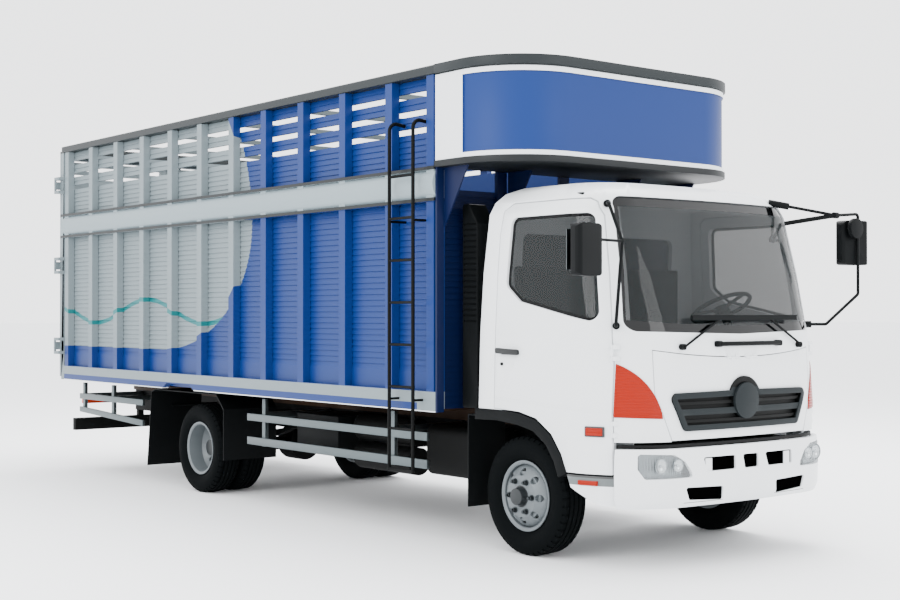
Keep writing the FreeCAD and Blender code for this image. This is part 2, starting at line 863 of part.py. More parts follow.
# first row and number of rows of the upper field and of the three boards above it
upper_fields = ((0, 6), (7, 2), (10, 2), (13, 2))
panel_margin = 20
panel_start = 10
post_width = 100
post_bevel = 8
post_start = 140
portal_depth = 60
post_shares = (0.0095, 0.0870, 0.1815, 0.2735, 0.3625, 0.4455, 0.5335, 0.6210, 0.7100, 0.7985, 0.8880, 0.9790)
skirt_height = 145
skirt_arch_height = 50
skirt_arch_half = 305
skirt_arch_y = 4485
skirt_arch_slope = 90
moulding_bulge = 46
moulding_set = 20
lip_height = 24
lip_proud = 14
rail_proud = 16
rail_round = 14


def rib_profile(z0, count):
    """The outline of a clad panel: a flat inner face and a saw tooth of lapped boards outside."""
    points = [(-side_wall_inner, z0)]
    for i in range(count):
        low = z0 + i * rib_pitch
        points += [(-panel_face, low), (-panel_face + rib_depth, low + rib_pitch)]
    points += [(-side_wall_inner, z0 + count * rib_pitch)]
    return points


def side_panels():
    """Clad fields between the posts: one below the middle rail, and above it one field and three boards."""
    y0 = body_front_y + panel_start
    y1 = body_rear_y - portal_depth
    low = floor_bottom_z + panel_margin
    lower = [(-side_wall_inner, low), (-panel_face, low), (-panel_face, lower_start)]
    lower += rib_profile(lower_start, lower_rows)[1:-1]
    lower += [(-panel_face, upper_start), (-side_wall_inner, upper_start)]
    fields = [front_prism(lower, y0, y1)]
    for start, count in upper_fields:
        fields.append(front_prism(rib_profile(upper_start + start * rib_pitch, count), y0, y1))
    return fields


def side_frame():
    """Posts, rails, corner posts and the middle moulding of one side, welded into one."""
    face = -body_half_width
    half = post_width / 2
    posts = []
    for share in post_shares:
        y = body_front_y + share * body_length
        points = [(-panel_face, y - half), (face, y - half + post_bevel), (face, y + half - post_bevel),
                  (-panel_face, y + half)]
        posts.append(plan_prism(points, floor_bottom_z + post_start, top_rail_z))
    y0 = body_front_y
    y1 = body_rear_y - portal_depth
    arch_y0 = skirt_arch_y - skirt_arch_half
    arch_y1 = skirt_arch_y + skirt_arch_half
    high = floor_bottom_z + skirt_height
    arch_z = floor_bottom_z + skirt_arch_height
    skirt = [(y0, floor_bottom_z), (y0, high), (y1, high), (y1, floor_bottom_z), (arch_y1, floor_bottom_z),
             (arch_y1 - skirt_arch_slope, arch_z), (arch_y0 + skirt_arch_slope, arch_z), (arch_y0, floor_bottom_z)]
    skirt = side_prism(skirt, face, -panel_face)
    set_in = face + moulding_set
    bow = [Vector(set_in, y0, mid_rail_z + moulding_set),
           Vector(set_in - moulding_bulge, y0, mid_rail_z + mid_rail_height / 2),
           Vector(set_in, y0, mid_rail_z + mid_rail_height - moulding_set)]
    arc = Part.Arc(*bow).toShape()
    back = [bow[2], Vector(-panel_face, y0, bow[2].z), Vector(-panel_face, y0, bow[0].z), bow[0]]
    rest = [Part.LineSegment(back[i], back[i + 1]).toShape() for i in range(len(back) - 1)]
    moulding = Part.Face(Part.Wire([arc] + rest)).extrude(Vector(0, y1 - y0, 0))
    lips = [box(face - lip_proud, -panel_face, y0, y1, z, z + lip_height)
            for z in (mid_rail_z, mid_rail_z + mid_rail_height - lip_height)]
    rail = front_rounded(rectangle(face - rail_proud, -side_wall_inner, top_rail_z, body_top_z), rail_round, y0, y1)
    return join(posts + [skirt, moulding, rail] + lips)


front_margin = 62
deck_wall = 35
sill_width = 60
bearer_width = 50
bearer_count = 13
bearer_start = 90
bearer_end = 170


def cargo_floor():
    """Deck on cross bearers and two long sills."""
    inner = side_wall_inner - seat_gap
    y0 = body_front_y + front_margin
    y1 = body_rear_y - portal_depth
    low = deck_z - deck_wall
    deck = box(-inner, inner, y0, y1, low, deck_z)
    sill_x = rail_x - sill_width / 2
    sills = [box(x - sill_width / 2, x + sill_width / 2, y0, y1, rail_top_z, floor_bottom_z) for x in (-sill_x, sill_x)]
    bearers = []
    for i in range(bearer_count):
        y = body_front_y + bearer_start + i * (body_length - bearer_start - bearer_end) / (bearer_count - 1)
        bearers.append(box(-inner, inner, y, y + bearer_width, floor_bottom_z, low))
    return join([deck] + sills + bearers)


clad_face = 12
front_rows = 36
front_post_x = 620
front_post_half = 45
front_post_proud = 20
corner_post_width = 62


def front_wall():
    """Clad wall behind the cab, between the corner posts, up to the peak's floor."""
    start = floor_bottom_z + panel_margin
    face = body_front_y + clad_face
    points = [(body_front_y + front_margin, start), (face, start)]
    for i in range(front_rows):
        low = start + i * rib_pitch
        points += [(face, low), (face + rib_depth, low + rib_pitch)]
    points += [(body_front_y + front_margin, start + front_rows * rib_pitch)]
    clad = side_prism(points[1:] + points[:1], -side_wall_inner + seat_gap, side_wall_inner - seat_gap)
    proud = body_front_y - front_post_proud
    posts = [box(x - front_post_half, x + front_post_half, proud, face, floor_bottom_z, peak_floor_z)
             for x in (-front_post_x, 0, front_post_x)]
    corners = [box(x0, x0 + corner_post_width, proud, body_front_y, floor_bottom_z, peak_floor_z)
               for x0 in (-body_half_width, body_half_width - corner_post_width)]
    return [clad] + posts + corners


peak_front_y = -120
peak_floor_z = 2645
peak_radius = 540
peak_wall = 36
peak_floor_wall = 45
peak_face = 10
peak_skirt_height = 45
peak_skirt_proud = 12
peak_band_height = 75
peak_top_band = 45
peak_rim_proud = 16
peak_post_y = 385
peak_post_width = 130
peak_opening_depth = 300


def peak_outline(inset, z):
    """The peak's outline from above: straight sides and a broad front with round corners."""
    half = body_half_width - inset
    front = peak_front_y + inset
    radius = peak_radius - inset
    rear = body_front_y
    share = 1 - math.sqrt(1 / 2)
    p = [Vector(-half, rear, z), Vector(-half, front + radius, z),
         Vector(-half + radius * share, front + radius * share, z), Vector(-half + radius, front, z),
         Vector(half - radius, front, z), Vector(half - radius * share, front + radius * share, z),
         Vector(half, front + radius, z), Vector(half, rear, z)]
    return Part.Wire([
        Part.LineSegment(p[0], p[1]).toShape(), Part.Arc(p[1], p[2], p[3]).toShape(),
        Part.LineSegment(p[3], p[4]).toShape(), Part.Arc(p[4], p[5], p[6]).toShape(),
        Part.LineSegment(p[6], p[7]).toShape(), Part.LineSegment(p[7], p[0]).toShape()])


def peak_block(inset, z0, z1):
    return Part.Face(peak_outline(inset, z0)).extrude(Vector(0, 0, z1 - z0))


def peak():
    """The body's nose over the cab: floor, wall in a raised frame, rims above and below."""
    outer = [
        peak_block(-peak_skirt_proud, peak_floor_z, peak_floor_z + peak_skirt_height),
        peak_block(0, peak_floor_z, peak_floor_z + peak_band_height),
        peak_block(peak_face, peak_floor_z, top_rail_z),
        peak_block(0, top_rail_z - peak_top_band, top_rail_z),
        peak_block(-peak_rim_proud, top_rail_z, body_top_z),
    ]
    edge = body_half_width - peak_post_width
    outer += [box(x0, x0 + peak_post_width, peak_post_y, body_front_y, peak_floor_z, top_rail_z)
              for x0 in (-body_half_width, edge)]
    low = peak_floor_z + peak_floor_wall
    hollow = peak_block(peak_face + peak_wall, low, body_top_z + overrun)
    hollow = hollow.fuse(box(-side_wall_inner, side_wall_inner, body_front_y - peak_opening_depth,
                             body_front_y + overrun, low, body_top_z + overrun))
    return join(outer).cut(hollow)


gusset_places = (560, 1150)
gusset_half_wall = 6
gusset_reach = 260
gusset_drop = 420


def gussets():
    """Triangular brackets that carry the peak from the front wall."""
    y = body_front_y - front_post_proud
    points = [(y, peak_floor_z), (y - gusset_reach, peak_floor_z), (y, peak_floor_z - gusset_drop)]
    plates = []
    for x in gusset_places:
        plates += pair(side_prism(points, x - gusset_half_wall, x + gusset_half_wall))
    return plates


bow_half_width = 20
bow_low = 12
bow_high = 52


def roof_bows():
    bars = []
    inner = side_wall_inner - seat_gap
    for share in post_shares[2::2]:
        y = body_front_y + share * body_length
        bars.append(box(-inner, inner, y - bow_half_width, y + bow_half_width, top_rail_z + bow_low,
                        top_rail_z + bow_high))
    return bars


portal_post_width = 110
portal_head_height = 40
rear_door_wall = 45
rear_door_gap = 6
hinge_proud = 45
hinge_x = body_half_width + hinge_proud
hinge_radius = 12
hinge_out = 10
hinge_y = body_rear_y + rear_door_wall + hinge_out
hinge_heights = (1280, 2120, 2960)
door_hinge_span = 55
portal_hinge_length = 30
hinge_clear = 0.5
lock_bar_radius = 14
lock_bar_proud = 18


def rear_portal():
    """The frame that the rear doors close on."""
    inner = body_half_width - portal_post_width
    y0 = body_rear_y - portal_depth
    posts = [box(-body_half_width, body_half_width, y0, body_rear_y, floor_bottom_z, deck_z),
             box(-body_half_width, body_half_width, y0, body_rear_y, top_rail_z - portal_head_height, body_top_z)]
    posts += [box(x0, x0 + portal_post_width, y0, body_rear_y, floor_bottom_z, body_top_z)
              for x0 in (-body_half_width, inner)]
    for z in hinge_heights:
        for low in (z - door_hinge_span - portal_hinge_length, z + door_hinge_span + seat_gap):
            high = low + portal_hinge_length - seat_gap
            knuckle = rod((-hinge_x, hinge_y, low), (-hinge_x, hinge_y, high), hinge_radius)
            leaf = box(-hinge_x - hinge_radius, -body_half_width + hinge_clear, y0 + seat_gap, hinge_y, low, high)
            posts += pair(join([knuckle, leaf]))
    return join(posts)


leaf_gap = 4
leaf_margin_low = 30
leaf_margin_high = 20
leaf_outer_width = 90
leaf_inner_width = 70
leaf_rail_low = 110
leaf_rail_high = 90
leaf_face = 12
leaf_upper_rows = 9
leaf_boards = (10, 12)
leaf_board_wall = 20
lock_bar_x = 190
lock_pad_half = 30
lock_pad_height_half = 20
lock_pad_places = (60, 740, 1570, 2300)
hinge_strap_half = 40
hinge_strap_reach = 60
strap_proud = 2


def clad_leaf(y0, y1, z0, rows, x0, x1):
    points = [(y0, z0)]
    for i in range(rows):
        low = z0 + i * rib_pitch
        points += [(y1 - leaf_face, low), (y1 - leaf_face - rib_depth, low + rib_pitch)]
    points += [(y0, z0 + rows * rib_pitch)]
    return side_prism(points, x0, x1)


def rear_door():
    """Right half of the rear doors: a framed clad leaf with hinges, lock bar and handle."""
    y0 = body_rear_y + leaf_gap
    y1 = body_rear_y + rear_door_wall
    z0 = floor_bottom_z + leaf_margin_low
    z1 = top_rail_z + leaf_margin_high
    x0 = -body_half_width + leaf_gap
    x1 = -rear_door_gap / 2
    low = mid_rail_z + mid_rail_height
    parts = [box(x0, x0 + leaf_outer_width, y0, y1, z0, z1), box(x1 - leaf_inner_width, x1, y0, y1, z0, z1),
             box(x0, x1, y0, y1, z0, z0 + leaf_rail_low), box(x0, x1, y0, y1, z1 - leaf_rail_high, z1),
             box(x0, x1, y0, y1, mid_rail_z, low),
             clad_leaf(y0, y1, z0, int((mid_rail_z - z0) / rib_pitch), x0, x1),
             clad_leaf(y0, y1, low, leaf_upper_rows, x0, x1)]
    for row in leaf_boards:
        board_z = low + row * rib_pitch
        parts.append(box(x0, x1, y0, y0 + leaf_board_wall, board_z, board_z + rib_pitch))
    bar_y = y1 + lock_bar_proud
    parts.append(rod((-lock_bar_x, bar_y, z0), (-lock_bar_x, bar_y, z1), lock_bar_radius))
    for place in lock_pad_places:
        z = z0 + place
        parts.append(box(-lock_bar_x - lock_pad_half, -lock_bar_x + lock_pad_half, y1 - strap_proud,
                         bar_y + strap_proud, z - lock_pad_height_half, z + lock_pad_height_half))
    for z in hinge_heights:
        parts.append(rod((-hinge_x, hinge_y, z - door_hinge_span), (-hinge_x, hinge_y, z + door_hinge_span),
                         hinge_radius))
        parts.append(box(-hinge_x, x0 + hinge_strap_reach, y1 - strap_proud, hinge_y + strap_proud,
                         z - hinge_strap_half, z + hinge_strap_half))
    return join(parts)


ladder_out = 85
ladder_front_y = 837
ladder_rear_y = 1118
ladder_low_z = 500
ladder_hook_row = 7.5
ladder_hook_rise = 20
ladder_radius = 13
ladder_bend = 60
rung_radius = 10
rung_count = 7
rung_start_z = 800
rung_pitch = 300
stay_radius = 9
low_stay_z = 1010
stay_row = 25


def ladder():
    """Two hooked rails and their rungs, stood off the body's side."""
    x = -body_half_width - ladder_out
    hook_z = upper_start + ladder_hook_row * rib_pitch
    stay_z = lower_start + stay_row * rib_pitch
    parts = []
    for y in (ladder_front_y, ladder_rear_y):
        points = [(-panel_face - rib_depth - seat_gap, y, hook_z), (x, y, hook_z + ladder_hook_rise),
                  (x, y, ladder_low_z)]
        parts.append(tube(points, ladder_radius, ladder_bend))
        parts.append(rod((-body_half_width - seat_gap, y, low_stay_z), (x, y, low_stay_z), stay_radius))
        parts.append(rod((-panel_face - seat_gap, y, stay_z), (x, y, stay_z), stay_radius))
    for i in range(rung_count):
        z = rung_start_z + i * rung_pitch
        parts.append(rod((x, ladder_front_y, z), (x, ladder_rear_y, z), rung_radius))
    z = ladder_low_z + ladder_radius / 2
    parts.append(rod((x, ladder_front_y, z), (x, ladder_rear_y, z), ladder_radius))
    return join(parts)


# Chassis

tow_plate = 14
tow_spacing_x = 160
tow_spacing_z = 100
tow_hole_radius = 10.5
member_width = 60
member_low = 80
member_high = 30
member_places = (rail_front_y, 960, 2000, 3200, 4900, 5900)
mount_places = (-800, 190)
mount_length = 80
mount_inner_x = 370
mount_outer_x = 480
mount_wall = 50
mount_foot = 30


def channel(y0, y1):
    """One frame rail: a channel, open to the middle."""
    x = -rail_x
    points = [(x, rail_bottom_z), (x, rail_top_z), (x + rail_flange, rail_top_z),
              (x + rail_flange, rail_top_z - rail_wall), (x + rail_wall, rail_top_z - rail_wall),
              (x + rail_wall, rail_bottom_z + rail_wall), (x + rail_flange, rail_bottom_z + rail_wall),
              (x + rail_flange, rail_bottom_z)]
    return front_prism(points, y0, y1)


def chassis_frame():
    """Rails, cross members, cab mounts and the rear plate with its bolt holes."""
    rails = pair(channel(rail_front_y, rail_rear_y))
    inner = rail_x - rail_wall
    members = []
    for y in member_places:
        members.append(box(-inner, inner, y, y + member_width, rail_bottom_z + member_low, rail_top_z - member_high))
    members.append(box(-inner, inner, rail_rear_y - tow_plate, rail_rear_y, rail_bottom_z, rail_top_z))
    for y in mount_places:
        members += pair(box(mount_inner_x, mount_outer_x, y, y + mount_length, rail_top_z, rail_top_z + mount_foot))
        members += pair(box(mount_outer_x - mount_wall, mount_outer_x, y, y + mount_length, rail_top_z,
                            sill_z - floor_plate))
    middle = rail_bottom_z + rail_height / 2
    holes = [rod((x, rail_rear_y - tow_plate - overrun, z), (x, rail_rear_y + overrun, z), tow_hole_radius)
             for x in (-tow_spacing_x / 2, tow_spacing_x / 2)
             for z in (middle - tow_spacing_z / 2, middle + tow_spacing_z / 2)]
    return cut(join(rails + members), holes)


engine_front_y = -560
engine_rear_y = 290
engine_half = 300
engine_low_z = 500
engine_high_z = 1235
engine_shares = ((-1, 0.054), (-0.8, 0), (0.8, 0), (1, 0.054), (1, 0.925), (0.733, 1), (-0.733, 1), (-1, 0.925))
gearbox_half = 190
gearbox_low_z = 520
gearbox_high_z = 850
gearbox_rear_y = 900
engine_feet = (-350, 120)
engine_foot_length = 70
engine_foot_low_z = 640
engine_foot_high_z = 720


def engine_block():
    block = front_prism(spots(engine_shares, 0, engine_half, engine_low_z, engine_high_z), engine_front_y,
                        engine_rear_y)
    gearbox = box(-gearbox_half, gearbox_half, engine_rear_y, gearbox_rear_y, gearbox_low_z, gearbox_high_z)
    web_x = rail_x - rail_wall
    feet = [box(-web_x, web_x, y, y + engine_foot_length, engine_foot_low_z, engine_foot_high_z) for y in engine_feet]
    return join([block, gearbox] + feet)


shaft_radius = 45
shaft_front_z = 612
shaft_rear_z = 465
shaft_rear_gap = 208


def prop_shaft():
    front = gearbox_rear_y - overrun
    shaft = rod((0, front, shaft_front_z), (0, wheelbase - shaft_rear_gap, shaft_rear_z), shaft_radius)
    wide = shaft_radius * 2
    return cut(shaft, [box(-wide, wide, front - wide, gearbox_rear_y, shaft_front_z - wide, shaft_front_z + wide)])


beam_end = 50
beam_half = kingpin_x - beam_end
beam_middle_half = 430
beam_step_half = 520
beam_low_z = 375
beam_high_z = 435
beam_drop = 40
beam_half_depth = 40
beam_web_half = 10
beam_flange = 17
groove_end = 110
eye_radius = 38
eye_low_z = 355
eye_high_z = 445
spring_x = 388
axle_pad_half = 45
axle_pad_reach = 60
axle_pad_low_z = 380
axle_pad_high_z = 437
neck_half = 32
neck_low_z = 365
neck_high_z = 440
neck_inner = 20
neck_outer = 40
pin_gap = 0.3


def beam_points(half, low, high):
    """The I-beam's outline from the front: level ends and a dropped middle."""
    right = [(beam_middle_half, high - beam_drop), (beam_step_half, high), (half, high), (half, low),
             (beam_step_half, low), (beam_middle_half, low - beam_drop)]
    return right + [(-x, z) for x, z in right[::-1]]


def front_axle():
    """I-beam with raised ends, and an eye for each kingpin."""
    beam = front_prism(beam_points(beam_half, beam_low_z, beam_high_z), -beam_half_depth, beam_half_depth)
    groove = front_prism(beam_points(beam_half - groove_end, beam_low_z + beam_flange, beam_high_z - beam_flange),
                         beam_web_half, beam_half_depth + overrun)
    beam = beam.cut([groove, groove.mirror(Vector(0, 0, 0), Vector(0, 1, 0))])
    parts = []
    for x in (-kingpin_x, kingpin_x):
        parts.append(rod((x, 0, eye_low_z), (x, 0, eye_high_z), eye_radius))
    for x in (-spring_x, spring_x):
        parts.append(box(x - axle_pad_half, x + axle_pad_half, -axle_pad_reach, axle_pad_reach, axle_pad_low_z,
                         axle_pad_high_z))
    parts += pair(box(beam_half - neck_inner, beam_half + neck_outer, -neck_half, neck_half, neck_low_z, neck_high_z))
    bores = [rod((x, 0, eye_low_z - overrun), (x, 0, eye_high_z + overrun), kingpin_radius + pin_gap)
             for x in (-kingpin_x, kingpin_x)]
    return join([beam] + parts).cut(bores)


lug_outer = 70
lug_inner = 40
lug_half = 36
lug_wall = 33
lug_gap = 2
upright_wall = 28
upright_half = 60
spindle_reach = 60
arm_low_z = 325
arm_high_z = 350
arm_length = 250
arm_shares = ((-0.857, 0.16), (-0.857, 0.28), (0.143, 1), (0.643, 1), (-0.143, 0.2), (-0.6, 0.16))


def knuckle():
    """Right steering knuckle: two lugs on the kingpin, an upright, the spindle and the steering arm."""
    x = -kingpin_x
    low = eye_low_z - lug_gap
    high = eye_high_z + lug_gap
    outer = x - lug_outer
    top = box(outer, x + lug_inner, -lug_half, lug_half, high, high + lug_wall)
    bottom = box(outer, x + lug_inner, -lug_half, lug_half, low - lug_wall, low)
    upright = box(outer, outer + upright_wall, -upright_half, upright_half, low - lug_wall, high + lug_wall)
    pin = rod((x, 0, low - lug_wall), (x, 0, high + lug_wall), kingpin_radius)
    spindle = rod((outer + upright_wall / 2, 0, axle_height), (-front_wheel_x - spindle_reach, 0, axle_height),
                  spindle_radius)
    arm = plan_prism([(x + lug_outer * a, arm_length * b) for a, b in arm_shares], arm_low_z, arm_high_z)
    return join([top, bottom, upright, pin, spindle, arm])


spring_half_width = 35
leaf_wall = 16
hanger_rise = 60
eye_half_width = 40
spring_eye_radius = 18
hanger_half = 20
hanger_side_half = 30
hanger_low = 20
hanger_high = 90
front_spring = (0, spring_x, 620, 437, 497)
rear_spring = (wheelbase, 480, 700, 470, 545)


def springs():
    """Leaf packs on hangers: the front pair under the rails, the rear pair beside them."""
    solids = []
    for y, x, reach, low, high in (front_spring, rear_spring):
        end = high + hanger_rise
        x0 = x - spring_half_width
        x1 = x + spring_half_width
        outer = [Vector(x0, y - reach, end), Vector(x0, y, low), Vector(x0, y + reach, end)]
        inner = [Vector(x0, y + reach, end + leaf_wall), Vector(x0, y, high), Vector(x0, y - reach, end + leaf_wall)]
        edges = [Part.Arc(*outer).toShape(), Part.LineSegment(outer[2], inner[0]).toShape(),
                 Part.Arc(*inner).toShape(), Part.LineSegment(inner[2], outer[0]).toShape()]
        parts = [Part.Face(Part.Wire(edges)).extrude(Vector(x1 - x0, 0, 0))]
        eye_z = end + leaf_wall / 2
        hanger_z = rail_bottom_z if x < rail_x else rail_bottom_z + hanger_high
        for end_y in (y - reach, y + reach):
            parts.append(rod((x - eye_half_width, end_y, eye_z), (x + eye_half_width, end_y, eye_z),
                             spring_eye_radius))
            parts.append(box(x0, x1, end_y - hanger_half, end_y + hanger_half, eye_z, hanger_z))
            if x > rail_x:
                parts.append(box(rail_x, x1, end_y - hanger_side_half, end_y + hanger_side_half,
                                 rail_bottom_z + hanger_low, hanger_z))
        solids += pair(join(parts))
    return solids


rear_beam_half = 560
rear_beam_radius = 62
banjo_radius = 165
banjo_front = 110
banjo_rear = 130
nose_radius = 80
nose_length = 200
nose_rise = 50
spindle_start = 10
spindle_end = 100
rear_pad_half = 45
rear_pad_reach = 60
rear_pad_height = 70


def rear_axle():
    """Banjo housing with a round middle and the spindles of the twin wheels."""
    y = wheelbase
    beam = rod((-rear_beam_half, y, axle_height), (rear_beam_half, y, axle_height), rear_beam_radius)
    middle = rod((0, y - banjo_front, axle_height), (0, y + banjo_rear, axle_height), banjo_radius)
    nose = rod((0, y - nose_length, axle_height + nose_rise), (0, y, axle_height), nose_radius)
    end = rear_outer_x - disc_offset + spindle_end
    spindle = rod((-rear_beam_half + spindle_start, y, axle_height), (-end, y, axle_height), rear_spindle_radius)
    x = rear_spring[1]
    pad = box(x - rear_pad_half, x + rear_pad_half, y - rear_pad_reach, y + rear_pad_reach, axle_height,
              axle_height + rear_pad_height)
    return join([beam, middle, nose] + pair(spindle) + pair(pad))


# Wheels

bead_gap = 0.3
bead_margin = 1
tyre_bead_rise = 8
tyre_wall_radius = 318
shoulder_width = 14
shoulder_drop = 22
tread_edge_width = 32
tread_edge_drop = 4


def tyre(x, y):
    """A tyre's section turned about the axle: tread, shoulders, bulged walls and beads."""
    half = tyre_width / 2
    bead = rim_width / 2 - rim_wall - bead_margin
    r = tyre_radius
    right = [(half - tread_edge_width, r - tread_edge_drop), (half - shoulder_width, r - shoulder_drop),
             (half, tyre_wall_radius), (bead, rim_radius + tyre_bead_rise), (bead, seat_radius + bead_gap)]
    points = [(-dx, radius) for dx, radius in right[::-1]] + [(0, r)] + right
    p = [Vector(x + dx, y, axle_height + radius) for dx, radius in points]
    edges = [
        Part.LineSegment(p[0], p[1]).toShape(), Part.Arc(p[1], p[2], p[3]).toShape(),
        Part.LineSegment(p[3], p[4]).toShape(), Part.Arc(p[4], p[5], p[6]).toShape(),
        Part.LineSegment(p[6], p[7]).toShape(), Part.Arc(p[7], p[8], p[9]).toShape(),
        Part.LineSegment(p[9], p[10]).toShape(), Part.LineSegment(p[10], p[0]).toShape()]
    face = Part.Face(Part.Wire(edges))
    return face.revolve(Vector(x, y, axle_height), Vector(1, 0, 0), full_turn)


dish_depth = 78
dish_step = 36
disc_flat_radius = 138
disc_slope_radius = 186
disc_sink = 2
disc_taper = 7
hand_hole_radius = 25
hand_hole_circle = 162
hand_hole_count = 8


def rim(x, y, side):
    """A steel rim: barrel with flanges and a dished disc whose hub face stands out towards side."""
    w = rim_width / 2
    b = seat_radius - rim_wall
    f = disc_offset * side
    step = f - side * dish_step
    low = f - side * dish_depth
    wall = side * disc_wall
    barrel = [(-w, rim_radius - rim_wall), (-w, rim_radius), (-w + rim_wall, rim_radius), (-w + rim_wall, seat_radius),
              (w - rim_wall, seat_radius), (w - rim_wall, rim_radius), (w, rim_radius), (w, rim_radius - rim_wall),
              (w - rim_wall, b), (-w + rim_wall, b)]
    disc = [(f, disc_bore), (f, disc_flat_radius), (step, disc_slope_radius), (low, b + disc_sink),
            (low - wall, b + disc_sink), (step - wall, disc_slope_radius - disc_taper),
            (f - wall, disc_flat_radius - disc_taper), (f - wall, disc_bore)]
    wheel = join([revolve_x(barrel, x, y, axle_height), revolve_x(disc, x, y, axle_height)])
    holes = []
    for i in range(hand_hole_count):
        angle = 2 * math.pi * i / hand_hole_count
        cy = y + hand_hole_circle * math.cos(angle)
        cz = axle_height + hand_hole_circle * math.sin(angle)
        holes.append(rod((x, cy, cz), (x + f + side * overrun, cy, cz), hand_hole_radius))
    return wheel.cut(holes)


flange_radius = 132
flange_wall = 14
drum_width = 110
drum_wall = 12
drum_inner_radius = 100
front_hub_length = 95
front_hub_radius = 70
hub_reach = 46
hub_cap_radius = 56
hub_cap_wall = 8
rear_hub_length = 170
rear_hub_radius = 78
rear_hub_reach = 110
rear_cap_rim = 14
rear_cap_radius = 58
rear_ring_radius = 76


def drum_points(back):
    start = back + flange_wall
    end = start + drum_width
    inner = drum_radius - drum_wall
    return [(start, drum_inner_radius), (start, drum_radius), (end, drum_radius), (end, inner),
            (start + drum_wall, inner), (start + drum_wall, drum_inner_radius)]


def front_rim():
    """Right front rim with its hub, flange and brake drum."""
    x = -front_wheel_x
    back = disc_wall - disc_offset
    bore = spindle_radius + bore_gap
    end = -disc_offset - hub_reach
    core = revolve_x([(back + front_hub_length, bore), (back + front_hub_length, front_hub_radius),
                      (back + flange_wall, front_hub_radius), (back + flange_wall, flange_radius),
                      (back, flange_radius), (back, disc_bore), (-disc_offset, disc_bore), (end, hub_cap_radius),
                      (end, 0), (end + hub_cap_wall, 0), (end + hub_cap_wall, bore)], x, 0, axle_height)
    return join([rim(x, 0, -1), core, revolve_x(drum_points(back), x, 0, axle_height)])


def rear_rims():
    """Right twin rims, bolted disc to disc on one hub with its drum."""
    y = wheelbase
    bore = rear_spindle_radius + bore_gap
    face = disc_offset - rear_outer_x
    back = face + disc_wall
    end = face - disc_wall - rear_hub_reach
    core = revolve_x([(back + rear_hub_length, bore), (back + rear_hub_length, rear_hub_radius),
                      (back + flange_wall, rear_hub_radius), (back + flange_wall, flange_radius),
                      (back, flange_radius), (back, disc_bore), (face - disc_wall, disc_bore),
                      (end + rear_cap_rim, rear_cap_radius), (end + rear_cap_rim, rear_ring_radius),
                      (end, rear_ring_radius), (end, 0), (end + hub_cap_wall, 0), (end + hub_cap_wall, bore)],
                     0, y, axle_height)
    drum = revolve_x(drum_points(back), 0, y, axle_height)
    return join([rim(-rear_outer_x, y, 1), rim(-rear_inner_x, y, -1), core, drum])


# Side and rear fittings

guard_x = 1120
guard_wall = 28
guard_post_half = 25
guard_post_wall = 32
guard_arm_low_z = 740
guard_arm_high_z = 790
guard_post_high_z = 900
front_guard = (919, 3424)
front_guard_posts = (1370, 3200)
front_guard_high = (709, 769)
front_guard_low = (508, 572)
rear_guard = (5390, 6825)
rear_guard_posts = (6100, 6780)
rear_guard_high = (733, 790)
rear_guard_low_front = (535, 592)
rear_guard_low_rear = (600, 653)
guard_post_drop = 8


def guard_posts(places, low_z):
    x = -guard_x + guard_wall
    parts = []
    for y in places:
        y0 = y - guard_post_half
        y1 = y + guard_post_half
        parts.append(box(x, x + guard_post_wall, y0, y1, low_z - guard_post_drop, guard_post_high_z))
        parts.append(box(x, -rail_x, y0, y1, guard_arm_low_z, guard_arm_high_z))
    return parts


def side_guards():
    """Right guards: two aluminium rails on posts between the axles, and two behind the rear wheels."""
    x0 = -guard_x
    x1 = -guard_x + guard_wall
    y0, y1 = front_guard
    front = [box(x0, x1, y0, y1, *front_guard_high), box(x0, x1, y0, y1, *front_guard_low)]
    y0, y1 = rear_guard
    slanted = [(y0, rear_guard_low_front[0]), (y0, rear_guard_low_front[1]), (y1, rear_guard_low_rear[1]),
               (y1, rear_guard_low_rear[0])]
    rear = [box(x0, x1, y0, y1, *rear_guard_high), side_prism(slanted, x0, x1)]
    return [join(front + guard_posts(front_guard_posts, front_guard_low[0])),
            join(rear + guard_posts(rear_guard_posts, rear_guard_low_rear[0]))]


under_run_half = 1130
under_run_low_z = 400
under_run_high_z = 525
under_run_depth = 70
under_run_set_in = 60
under_run_arm_x = 380
under_run_arm_half = 30


def under_run_bar():
    y = rail_rear_y - under_run_set_in
    beam = box(-under_run_half, under_run_half, y, y + under_run_depth, under_run_low_z, under_run_high_z)
    arms = [box(x - under_run_arm_half, x + under_run_arm_half, y, rail_rear_y, under_run_high_z, rail_bottom_z)
            for x in (-under_run_arm_x, under_run_arm_x)]
    return join([beam] + arms)


tail_outer_x = 1000
tail_inner_x = 620
tail_low_z = 670
tail_high_z = 770
tail_depth = 55
tail_arm_x = 200
tail_arm_wall = 20
tail_arm_inset = 20


def rear_lamps():
    y = rail_rear_y + seat_gap
    cluster = box(tail_inner_x, tail_outer_x, y + tail_arm_wall, y + tail_arm_wall + tail_depth, tail_low_z,
                  tail_high_z)
    arm = box(tail_arm_x, tail_outer_x, y, y + tail_arm_wall, tail_low_z + tail_arm_inset,
              tail_high_z - tail_arm_inset)
    return pair(join([cluster, arm]))


rear_guard_x = 1118
rear_guard_inner_x = 580
rear_sheet_wall = 8
rear_sheet_low_z = 330
rear_flap_low_z = 170
rear_sheet_high_z = 905
rear_sheet_front_y = 3830
rear_sheet_rear_y = 5290
rear_sheet_shares = ((0, 0.218), (0, 0.830), (0.089, 1), (0.890, 1), (0.945, 0.966), (1, 0))
rear_stay_radius = 12
rear_stay_z = 740
rear_stay_places = (3846, 5212)
rear_stay_x = 900


